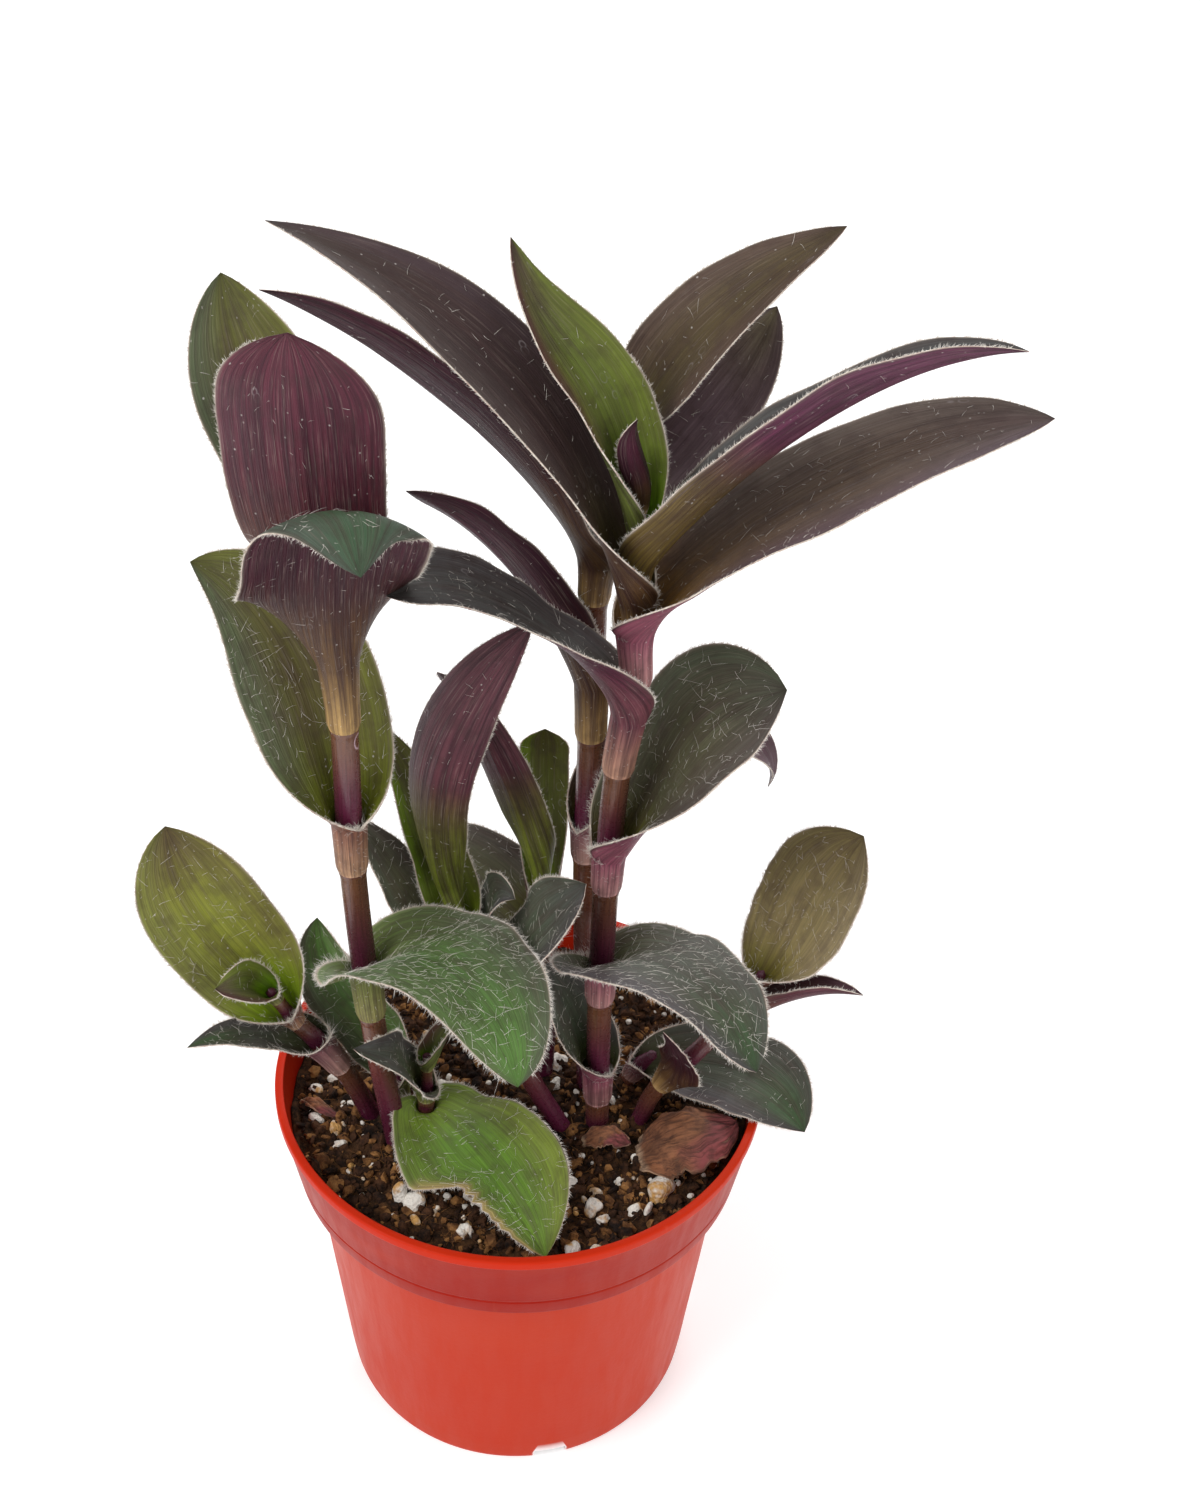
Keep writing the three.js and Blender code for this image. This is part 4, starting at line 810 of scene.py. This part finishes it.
# ---------------------------------------------------------------- materials
class Nodes:
    """Short names for building a material's node tree."""

    def __init__(self, name):
        self.material = bpy.data.materials.new(name)
        self.material.use_nodes = True
        self.tree = self.material.node_tree
        self.tree.nodes.clear()
        output = self.tree.nodes.new("ShaderNodeOutputMaterial")
        self.shader = self.tree.nodes.new("ShaderNodeBsdfPrincipled")
        self.put(self.shader.outputs["BSDF"], output.inputs["Surface"])

    def put(self, value, socket):
        """Sets a socket, or links it where the value is another node's output."""
        if isinstance(value, bpy.types.NodeSocket):
            self.tree.links.new(value, socket)
        elif isinstance(value, np.ndarray):
            socket.default_value = (*[float(v) for v in value], 1.0)
        else:
            socket.default_value = value

    def add(self, kind, output, inputs, **settings):
        """A node with its settings and inputs, by its output socket."""
        node = self.tree.nodes.new("ShaderNode" + kind)
        for key, value in settings.items():
            setattr(node, key, value)
        for key, value in inputs.items():
            self.put(value, node.inputs[key])
        return node.outputs[output]

    def tint(self):
        return self.add("Attribute", "Color", {}, attribute_name="tint")

    def place(self, *scale):
        """Coordinates times a scale: two numbers for the fibres' map, one or three for the object."""
        space = "UV" if len(scale) == 2 else "Object"
        scale = {1: scale * 3, 2: (*scale, 1), 3: scale}[len(scale)]
        return self.add("Mapping", "Vector", {"Vector": self.add("TexCoord", space, {}), "Scale": scale})

    def noise(self, vector, detail, rough, scale=1.0, distortion=0.0):
        return self.add("TexNoise", "Fac", {"Vector": vector, "Scale": scale, "Detail": detail,
            "Roughness": rough, "Distortion": distortion})

    def cells(self, vector, scale=1.0):
        return self.add("TexVoronoi", "Distance", {"Vector": vector, "Scale": scale}, feature="F1")

    def ramp(self, value, low, high, out_low=0.0, out_high=1.0):
        return self.add("MapRange", "Result", {"Value": value, "From Min": low, "From Max": high,
            "To Min": out_low, "To Max": out_high}, interpolation_type="SMOOTHSTEP")

    def math(self, operation, first, second):
        return self.add("Math", "Value", {0: first, 1: second}, operation=operation)

    def mix(self, factor, first, second):
        return self.add("Mix", 2, {"Factor": factor, 6: first, 7: second}, data_type="RGBA")

    def ring(self, cells, inner, middle, outer):
        """A thin ring round each cell's centre."""
        rise, fall = self.ramp(cells, inner, middle), self.ramp(cells, middle, outer, 1.0, 0.0)
        return self.math("MULTIPLY", rise, fall)

    def bump(self, height, distance, after=None):
        inputs = {"Strength": 1.0, "Distance": distance, "Height": height}
        if after is not None:
            inputs["Normal"] = after
        return self.add("Bump", "Normal", inputs)

    def finish(self, colour, rough, normal=None, **values):
        inputs = {"Base Color": colour, "Roughness": rough}
        if normal is not None:
            inputs["Normal"] = normal
        inputs.update({key.replace("_", " "): value for key, value in values.items()})
        for key, value in inputs.items():
            self.put(value, self.shader.inputs[key])
        return self.material


def leaf_material(name, under):
    """Lengthwise veins over the tint, with a fine grain; the under side is strongly ribbed."""
    n = Nodes(name)
    fibre = n.place(1, 1)
    bands = n.noise(n.place(0.55, 0.018), 3, 0.55)
    veins = n.noise(n.place(1.5, 0.03), 4, 0.6)
    fine = n.noise(n.place(4.0, 0.10), 3, 0.6)
    cells = n.noise(n.place(2.2, 2.2), 3, 0.7, 2.0)
    blotch = n.noise(fibre, 4, 0.6, 0.16)
    band = linear(44, 18, 32) if under else linear(70, 50, 46)
    colour = n.mix(n.ramp(bands, 0.42, 0.62, 0.0, 0.5 if under else 0.34), n.tint(), band)
    vein = np.array([0.025, 0.008, 0.014]) if under else np.array([0.03, 0.022, 0.016])
    colour = n.mix(n.ramp(veins, 0.42, 0.66, 0.0, 0.58 if under else 0.3), colour, vein)
    colour = n.mix(n.ramp(fine, 0.54, 0.7, 0.0, 0.2 if under else 0.13), colour, linear(190, 172, 160))
    colour = n.mix(n.ramp(blotch, 0.46, 0.64, 0.0, 0.3), colour, linear(58, 40, 40))
    dried = n.ring(n.cells(n.place(0.42, 0.3)), 0.2, 0.27, 0.33)
    few = n.ramp(n.noise(fibre, 1, 0.5, 0.05), 0.58, 0.64, 0.0, 0.3)
    colour = n.mix(n.math("MULTIPLY", dried, few), colour, linear(176, 166, 168))
    specks = n.ramp(n.cells(fibre, 0.55), 0.07, 0.14, 0.65, 0.0)
    gate = n.ramp(n.noise(fibre, 1, 0.5, 0.3), 0.54, 0.6)
    colour = n.mix(n.math("MULTIPLY", specks, gate), colour, linear(198, 192, 186))
    ribs = n.math("ADD", n.math("MULTIPLY", veins, 0.7), n.math("MULTIPLY", fine, 0.3))
    normal = n.bump(cells, 0.00005, n.bump(ribs, 0.0006 if under else 0.00035))
    rough = n.ramp(cells, 0.3, 0.7, 0.36 if under else 0.42, 0.5 if under else 0.58)
    return n.finish(colour, rough, normal, Specular_IOR_Level=0.22)


def margin_material():
    """Pale thin edge of a leaf."""
    n = Nodes("margin")
    grain = n.noise(n.place(900), 2, 0.6)
    colour = n.mix(n.ramp(grain, 0.35, 0.65), linear(236, 226, 212), linear(190, 162, 150))
    return n.finish(colour, 0.6, n.bump(grain, 0.0001))


def hair_material():
    """Silky white hair."""
    n = Nodes("hair")
    tone = n.noise(n.place(150), 2, 0.5)
    colour = n.mix(tone, linear(252, 248, 242), linear(224, 212, 198))
    return n.finish(colour, 0.4, Specular_IOR_Level=0.8)


def stem_material():
    """Glossy skin with fine lengthwise lines and a few pale dried drops."""
    n = Nodes("stem_skin")
    lines = n.noise(n.place(1.4, 0.08), 3, 0.6)
    grain = n.noise(n.place(700), 2, 0.6)
    drops = n.ring(n.cells(n.place(180, 180, 120)), 0.16, 0.20, 0.25)
    sparse = n.ramp(n.noise(n.place(70), 1, 0.5), 0.55, 0.62)
    colour = n.mix(n.ramp(lines, 0.35, 0.7, 0.0, 0.45), n.tint(), linear(52, 22, 30))
    colour = n.mix(n.math("MULTIPLY", drops, sparse), colour, linear(190, 160, 170))
    return n.finish(colour, n.ramp(grain, 0.3, 0.7, 0.22, 0.36), n.bump(lines, 0.00015),
        Coat_Weight=0.25, Coat_Roughness=0.2)


def soil_material():
    """Dark moist peat with browner bits."""
    n = Nodes("peat")
    coarse = n.noise(n.place(320), 6, 0.7)
    fine = n.noise(n.place(1400), 4, 0.7)
    colour = n.mix(n.ramp(coarse, 0.35, 0.7), linear(26, 17, 12), linear(92, 62, 38))
    colour = n.mix(n.ramp(fine, 0.55, 0.75, 0.0, 0.5), colour, linear(134, 98, 60))
    return n.finish(colour, 0.95, n.bump(fine, 0.0006), Specular_IOR_Level=0.2)


def crumb_material(name, dark, light):
    """Loose crumbs of peat and bark."""
    n = Nodes(name)
    tone = n.noise(n.place(260), 5, 0.7)
    fine = n.noise(n.place(1800), 3, 0.7)
    colour = n.mix(n.ramp(tone, 0.35, 0.66), linear(*dark), linear(*light))
    return n.finish(colour, 0.9, n.bump(fine, 0.0004), Specular_IOR_Level=0.25)


def perlite_material():
    """White pitted perlite, stained tan in places."""
    n = Nodes("perlite")
    pits = n.cells(n.place(1500))
    stain = n.noise(n.place(200), 3, 0.6)
    colour = n.mix(n.ramp(stain, 0.47, 0.63), linear(238, 232, 222), linear(204, 156, 90))
    colour = n.mix(n.ramp(pits, 0.0, 0.25, 0.35, 0.0), colour, linear(120, 100, 84))
    return n.finish(colour, 0.85, n.bump(pits, 0.0003))


def pot_material():
    """Moulded plastic: faint mottling from the mould, fine scuffs and a soft gloss."""
    n = Nodes("pot_plastic")
    flow = n.noise(n.place(14, 14, 40), 3, 0.55, 1.0, 0.8)
    grain = n.noise(n.place(900), 3, 0.6)
    scuff = n.noise(n.place(260, 260, 40), 4, 0.65)
    colour = n.mix(n.ramp(flow, 0.35, 0.7, 0.0, 0.3), n.tint(), linear(188, 60, 28))
    colour = n.mix(n.ramp(scuff, 0.62, 0.75, 0.0, 0.07), colour, linear(214, 122, 96))
    rough = n.ramp(scuff, 0.3, 0.75, 0.36, 0.5)
    return n.finish(colour, rough, n.bump(grain, 0.00003), Specular_IOR_Level=0.08)


def dead_material():
    """Dry brown leaf with dark patches and dark and pale streaks."""
    n = Nodes("dead_leaf")
    streak = n.noise(n.place(1.2, 0.1), 4, 0.65)
    patch = n.noise(n.place(240), 5, 0.65)
    colour = n.mix(n.ramp(patch, 0.46, 0.64, 0.0, 0.6), n.tint(), linear(70, 40, 30))
    colour = n.mix(n.ramp(streak, 0.4, 0.66, 0.0, 0.7), colour, linear(52, 28, 22))
    colour = n.mix(n.ramp(streak, 0.62, 0.8, 0.0, 0.6), colour, linear(186, 150, 116))
    return n.finish(colour, 0.8, n.bump(streak, 0.0006))


MATERIALS = {
    "upper": leaf_material("leaf_upper", False),
    "under": leaf_material("leaf_under", True),
    "margin": margin_material(),
    "hair": hair_material(),
    "stem": stem_material(),
    "soil": soil_material(),
    "crumb_dark": crumb_material("crumb_dark", (26, 16, 11), (84, 54, 34)),
    "crumb_light": crumb_material("crumb_light", (88, 56, 32), (168, 120, 70)),
    "perlite": perlite_material(),
    "pot": pot_material(),
    "dead": dead_material(),
}


# ---------------------------------------------------------------- dead leaves
def catmull(points, share):
    """A smooth curve through the points, by share of its run."""
    x = share * (len(points) - 1)
    i = min(int(x), len(points) - 2)
    t = x - i
    p = [np.array(points[min(max(k, 0), len(points) - 1)], float) for k in range(i - 1, i + 3)]
    if i == 0:
        p[0] = 2 * p[1] - p[2]
    if i == len(points) - 2:
        p[3] = 2 * p[2] - p[1]
    return 0.5 * ((2 * p[1]) + (p[2] - p[0]) * t + (2 * p[0] - 5 * p[1] + 4 * p[2] - p[3]) * t * t
                  + (3 * p[1] - p[0] - 3 * p[2] + p[3]) * t ** 3)


def build_dead_leaf(name, leaf):
    """A dry crumpled scrap of leaf on the soil."""
    ripple = make_ripple(name)
    count, u = 40, np.linspace(-1, 1, 23)
    grid = np.zeros((count, len(u), 3))
    for k in range(count):
        share = k / (count - 1)
        behind, ahead = max(0, share - 0.02), min(1, share + 0.02)
        along = unit(catmull(leaf["path"], ahead) - catmull(leaf["path"], behind))
        inward = square_to(np.array([0.0, 0, 1]), along)
        across = np.cross(along, inward)
        half = leaf["half"] * math.sin(math.pi * (0.08 + 0.92 * share)) ** 0.6 + 0.05
        half *= 1 + 0.1 * ripple(share * 14) + 0.07 * ripple(share * 41 + 3)
        curvature = leaf["fold"] * DEG / (2 * leaf["half"])
        angle = u * half * curvature
        crumple = leaf["wave"] * np.array([0.4 * ripple(9 * share + 3 * v) * (0.3 + abs(v))
            + 0.55 * ripple(13 * share - 7 * v + 2) + 0.22 * ripple(31 * share + 17 * v) for v in u])
        grid[k] = (catmull(leaf["path"], share) + np.outer(np.sin(angle) / curvature, across)
                   + np.outer((1 - np.cos(angle)) / curvature + crumple, inward))
    shell = normed(np.cross(np.gradient(grid, axis=0), np.gradient(grid, axis=1))) * DEAD_HALF_THICKNESS
    vertices = np.stack([grid + shell, grid - shell]).reshape(-1, 3)
    columns, shift = len(u), count * len(u)
    faces, uvs = [], []
    for i in range(count - 1):
        for j in range(columns - 1):
            a, b = i * columns + j, (i + 1) * columns + j
            faces += [[a, a + 1, b + 1, b], [shift + b, shift + b + 1, shift + a + 1, shift + a]]
            left, right = u[j] * leaf["half"], u[j + 1] * leaf["half"]
            corner = [(left, i), (right, i), (right, i + 1), (left, i + 1)]
            uvs += corner + corner[::-1]
    rim = (list(range(columns)) + [i * columns + columns - 1 for i in range(1, count)]
           + [(count - 1) * columns + j for j in range(columns - 2, -1, -1)]
           + [i * columns for i in range(count - 2, 0, -1)])
    for a, b in zip(rim, rim[1:] + rim[:1]):
        faces.append([b, a, shift + a, shift + b])
        uvs += [(0, 0)] * 4
    u_map, share_map = np.meshgrid(u, np.linspace(0, 1, count))
    wine = ease((share_map + 0.25 * u_map + 0.1 * mottle(grid, 5, 3.0) - 0.6) / 0.2)[..., None]
    pale = np.maximum(ease((0.1 - share_map) / 0.07), ease((np.abs(u_map) - 0.9) / 0.1) * 0.6)[..., None]
    colour = blend(linear(*DEAD_BROWN), linear(*DEAD_WINE), wine)
    colour = blend(colour, linear(*DEAD_PALE), pale)
    colour = (colour * (1 + 0.25 * mottle(grid, 6, 2.5))[..., None]).reshape(-1, 3)
    new_object("dry" + name[4:], vertices, faces, ["dead"], name, uvs=uvs,
        tints=np.clip(np.concatenate([colour, colour]), 0, 1))


# ---------------------------------------------------------------- pot
def inner_radius(z):
    """Inside radius of the pot at a height."""
    if z > COLLAR_FOOT + WALL:
        share = (z - COLLAR_FOOT - WALL) / (COLLAR_DEPTH - WALL - LIP_DEPTH)
        return COLLAR_FOOT_RADIUS - WALL + (RIM_RADIUS - COLLAR_FOOT_RADIUS) * min(1, share)
    return BASE_RADIUS - WALL + (WALL_TOP_RADIUS - BASE_RADIUS) * z / COLLAR_FOOT


def rounded(profile, radius, steps=4):
    """The profile with its corners cut by small arcs."""
    out = [profile[0]]
    for before, corner, after in zip(profile, profile[1:], profile[2:]):
        a, b, c = np.array(before, float), np.array(corner, float), np.array(after, float)
        reach = min(radius, np.linalg.norm(a - b) * 0.45, np.linalg.norm(c - b) * 0.45)
        start, end = b + unit(a - b) * reach, b + unit(c - b) * reach
        for k in range(steps + 1):
            t = k / steps
            out.append(tuple((1 - t) ** 2 * start + 2 * t * (1 - t) * b + t * t * end))
    out.append(profile[-1])
    return out


def build_pot():
    """The pot as a fine lathe shape, with notches cut in the foot of its wall."""
    lean = (RIM_RADIUS - 0.45 - COLLAR_FOOT_RADIUS) / (COLLAR_DEPTH - LIP_DEPTH)
    seam = [(COLLAR_FOOT_RADIUS + lean * z - depth, COLLAR_FOOT + z) for z, depth in SEAM]
    profile = [
        (0, 0), (BASE_RADIUS - 0.3, 0), (BASE_RADIUS + 0.1, 1.2),
        (BASE_RADIUS + 0.7, 6), (WALL_TOP_RADIUS, COLLAR_FOOT - 0.3), (COLLAR_FOOT_RADIUS, COLLAR_FOOT),
        *seam,
        (RIM_RADIUS - 0.45, POT_HEIGHT - LIP_DEPTH), (RIM_RADIUS, POT_HEIGHT - LIP_DEPTH + 0.3),
        (RIM_RADIUS, POT_HEIGHT), (RIM_RADIUS - LIP_WIDTH, POT_HEIGHT),
        (inner_radius(POT_HEIGHT - LIP_DEPTH), POT_HEIGHT - LIP_DEPTH),
        (inner_radius(COLLAR_FOOT + WALL + 0.01), COLLAR_FOOT + WALL),
        (inner_radius(COLLAR_FOOT), COLLAR_FOOT + WALL), (inner_radius(6), 6), (inner_radius(FLOOR), FLOOR),
        (0, FLOOR),
    ]
    profile = rounded(profile, 0.55)
    sides = 180
    inside = profile[1:-1]
    # Painted light by zone: the lip is tinted lighter and the collar darker than the wall, whose paler tint
    # is partly a painted reflection of the white floor.
    wall = linear(*POT_WALL_FLOOR_SHEEN)
    rings, tints = [], []
    for radius, z in inside:
        rings.append(circle(radius, sides, z))
        if z > POT_HEIGHT - LIP_DEPTH - 0.2:
            colour = linear(*POT_LIP_LIT)
        elif z > COLLAR_FOOT - 0.2:
            colour = linear(*POT_COLLAR_SHADED)
        else:
            colour = wall
        tints.append(np.repeat(colour[None], sides, axis=0))
    vertices = np.concatenate(rings + [np.array([[0, 0, 0], [0, 0, FLOOR]], float)])
    tints = np.concatenate(tints + [np.repeat(wall[None], 2, axis=0)])
    faces = ring_quads(len(inside), sides)
    first, last = len(vertices) - 2, len(vertices) - 1
    top = (len(inside) - 1) * sides
    for j in range(sides):
        k = (j + 1) % sides
        faces += [[first, k, j], [top + j, top + k, last]]
    pot = new_object("pot_body", vertices, faces, ["pot"], "pot", tints=tints)
    cut_drains(pot)


def cut_drains(pot):
    """Cuts the drainage notches and keeps the pot's hard edges crisp."""
    cutters = []
    for i in range(DRAIN_COUNT):
        angle = (DRAIN_FIRST_DEG + 360 * i / DRAIN_COUNT) * DEG
        bpy.ops.mesh.primitive_cube_add(size=1)
        cutter = bpy.context.object
        cutter.scale = (2 * DRAIN_REACH * MM, DRAIN_WIDTH * MM, 2 * DRAIN_HEIGHT * MM)
        cutter.location = (BASE_RADIUS * math.cos(angle) * MM, BASE_RADIUS * math.sin(angle) * MM, 0)
        cutter.rotation_euler = (0, 0, angle)
        cutters.append(cutter)
    bpy.context.view_layer.update()
    for cutter in cutters:
        cut = pot.modifiers.new("drain", "BOOLEAN")
        cut.operation = "DIFFERENCE"
        cut.object = cutter
        cut.solver = "EXACT"
    graph = bpy.context.evaluated_depsgraph_get()
    mesh = bpy.data.meshes.new_from_object(pot.evaluated_get(graph))
    pot.modifiers.clear()
    pot.data = mesh
    for cutter in cutters:
        bpy.data.objects.remove(cutter, do_unlink=True)
    pot.data.set_sharp_from_angle(angle=SHARP_DEG * DEG)


# ---------------------------------------------------------------- soil
def soil_height(x, y):
    """Uneven peat, in millimetres."""
    height = 0.45 * np.sin(0.55 * x + 1.1) * np.cos(0.48 * y) + 0.35 * np.sin(0.31 * x - 0.72 * y)
    height = height + 0.2 * np.cos(0.9 * x + 0.6 * y)
    waves = [(1.7, 1.1, 0.3), (-1.3, 2.1, 1.9), (2.9, 0.7, 4.1), (0.6, 3.3, 2.2)]
    for k, (fx, fy, phase) in enumerate(waves):
        height = height + (0.22 - 0.03 * k) * np.sin(fx * x + phase) * np.cos(fy * y + 2 * phase)
    return SOIL_LEVEL + height


def build_soil():
    """The peat's surface out to the wall, closed below by a plain cup."""
    rings, sides = 84, 200
    top = inner_radius(SOIL_LEVEL) - SOIL_GAP
    vertices = [np.array([[0, 0, soil_height(0.0, 0.0)]])]
    for i in range(1, rings + 1):
        ring = circle(top * i / rings, sides, 0.0)
        ring[:, 2] = soil_height(ring[:, 0], ring[:, 1])
        vertices.append(ring)
    vertices.append(circle(inner_radius(SOIL_CUP) - SOIL_GAP, sides, SOIL_CUP))
    vertices.append(np.array([[0, 0, SOIL_CUP]]))
    vertices = np.concatenate(vertices)
    faces = [[0, 1 + j, 1 + (j + 1) % sides] for j in range(sides)]
    faces += ring_quads(rings + 1, sides, 1, inward=True)
    foot = 1 + rings * sides
    faces += [[foot + j, len(vertices) - 1, foot + (j + 1) % sides] for j in range(sides)]
    new_object("peat", vertices, faces, ["soil"], "soil")


def lump_shape(level):
    """Vertices and faces of a round lump, to be bent for each grain."""
    bpy.ops.mesh.primitive_ico_sphere_add(subdivisions=level, radius=1)
    lump = bpy.context.object
    vertices = np.array([v.co for v in lump.data.vertices])
    faces = np.array([list(p.vertices) for p in lump.data.polygons])
    bpy.data.objects.remove(lump, do_unlink=True)
    return vertices, faces


def scatter(name, material, count, sizes, level, seed, stretch, ragged, sink, spots):
    """Irregular grains laid on the soil by a seeded draw, or on given spots (x, y, radius)."""
    draw = np.random.default_rng(seed)
    shape, pattern = lump_shape(level)
    pieces, faces, at = [], [], 0
    limit = inner_radius(SOIL_LEVEL) - 1.2
    for k in range(count):
        size = draw.uniform(*sizes) * draw.uniform(0.7, 1.0)
        radius = (limit - size) * math.sqrt(draw.uniform())
        angle = draw.uniform(0, 2 * math.pi)
        x, y = radius * math.cos(angle), radius * math.sin(angle)
        if spots:
            x, y, size = spots[k]
        scale = size * (1 + stretch * draw.uniform(-1, 1, 3))
        bumps = 1 + ragged * np.sin(shape @ draw.normal(0, 2.4, (3, 3)) + draw.uniform(0, 6, 3)).sum(1) / 2
        turn = np.linalg.qr(draw.normal(size=(3, 3)))[0]
        grain = (shape * bumps[:, None] * scale) @ turn
        grain += [x, y, float(soil_height(x, y)) + size * (0.5 - sink)]
        pieces.append(grain)
        faces.append(pattern + at)
        at += len(shape)
    new_object(name, np.concatenate(pieces), np.concatenate(faces).tolist(), [material],
        smooth=level > 1)


def build_fibres():
    """Thin rootlets and threads of peat."""
    draw = np.random.default_rng(41)
    count = THREAD_COUNT
    radius = THREAD_REACH * np.sqrt(draw.uniform(0, 1, count))
    angle = draw.uniform(0, 2 * math.pi, count)
    x, y = radius * np.cos(angle), radius * np.sin(angle)
    roots = np.stack([x, y, soil_height(x, y) + 0.2], axis=1)
    heading = draw.uniform(0, 2 * math.pi, count)
    direction = np.stack([np.cos(heading), np.sin(heading), draw.uniform(-0.05, 0.5, count)], axis=1)
    lengths = draw.uniform(1.5, 5.5, count)
    inside = np.hypot(x + direction[:, 0] * lengths, y + direction[:, 1] * lengths) < THREAD_LIMIT
    strands = Strands()
    strands.add(roots[inside], direction[inside], draw.normal(0, 0.35, (count, 3))[inside] * [1, 1, 0.4],
        lengths[inside], 0.09)
    strands.build("peat_threads", "crumb_light")


# ---------------------------------------------------------------- build all
blades = [build_leaf(name, values) for name, values in LEAVES.items()]
for group, stem_points in STEMS.items():
    build_stem("stem_" + group, stem_points)
for group in STEMS:
    group_hairs = Strands()
    for blade in blades:
        if LEAVES[blade["name"]]["stem"] == group:
            dress_leaf(blade, group_hairs)
    group_hairs.build("hairs_" + group, "hair")
for name, values in LOOSE_LEAVES.items():
    build_dead_leaf(name, values)
build_pot()
build_soil()
for grain in GRAINS:
    scatter(*grain)
build_fibres()


# ---------------------------------------------------------------- floor, light and camera
# Round soft lights: name, place in metres, size in metres and power in watts.
LIGHTS = [
    ("key", (-0.9, -0.7, 1.3), 0.9, 15),
    ("fill", (1.1, -0.9, 0.8), 1.2, 6),
    ("back", (0.2, 1.2, 1.0), 1.0, 8),
]
LIGHT_TARGET = Vector((0, 0, 0.15))
SKY_STRENGTH = 0.6
FLOOR_REACH = 3.0
FLOOR_GLOW = 0.42


def build_floor():
    """A white paper floor that glows a little, so that its shadows stay pale."""
    mesh = bpy.data.meshes.new("floor")
    corners = [(x * FLOOR_REACH, y * FLOOR_REACH, 0) for x, y in ((-1, -1), (1, -1), (1, 1), (-1, 1))]
    mesh.from_pydata(corners, [], [(0, 1, 2, 3)])
    floor = add_object("floor", mesh)
    n = Nodes("floor_paper")
    grain = n.noise(n.place(300), 2, 0.5)
    mesh.materials.append(n.finish((0.75, 0.75, 0.75, 1), n.ramp(grain, 0, 1, 0.7, 0.9),
        Emission_Color=(1, 1, 1, 1), Emission_Strength=FLOOR_GLOW))


def add_light(name, place, size, power):
    """A round soft light that faces the plant."""
    data = bpy.data.lights.new(name, "AREA")
    data.shape = "DISK"
    data.size = size
    data.energy = power
    light = add_object(name, data)
    light.location = place
    light.rotation_euler = (LIGHT_TARGET - Vector(place)).to_track_quat("-Z", "Y").to_euler()


def build_lights():
    """The lights, a white sky and a plain view transform."""
    for light in LIGHTS:
        add_light(*light)
    world = bpy.data.worlds.new("studio")
    world.use_nodes = True
    background = world.node_tree.nodes["Background"]
    background.inputs["Color"].default_value = (1, 1, 1, 1)
    background.inputs["Strength"].default_value = SKY_STRENGTH
    bpy.context.scene.world = world
    bpy.context.scene.view_settings.view_transform = "Standard"


# The photo's camera, in millimetres of lens, degrees and metres.
LENS = 47.62
PITCH_DEG = 37.4
ROLL_DEG = 2.3
DISTANCE = 0.3914
AIM = Vector((0.015, 0.0, 0.176))


def build_camera():
    """The photo's camera, which looks down at the plant."""
    data = bpy.data.cameras.new("camera")
    data.lens = LENS
    data.sensor_width = 36
    data.clip_start = 0.01
    camera = add_object("camera", data)
    pitch, roll = PITCH_DEG * DEG, ROLL_DEG * DEG
    forward = Vector((0, math.cos(pitch), -math.sin(pitch)))
    level = Vector((1, 0, 0))
    upright = level.cross(forward)
    right = level * math.cos(roll) + upright * math.sin(roll)
    up = upright * math.cos(roll) - level * math.sin(roll)
    camera.matrix_world = Matrix.Translation(AIM - forward * DISTANCE) @ Matrix(
        (right, up, -forward)).transposed().to_4x4()
    bpy.context.scene.camera = camera


build_floor()
build_lights()
build_camera()
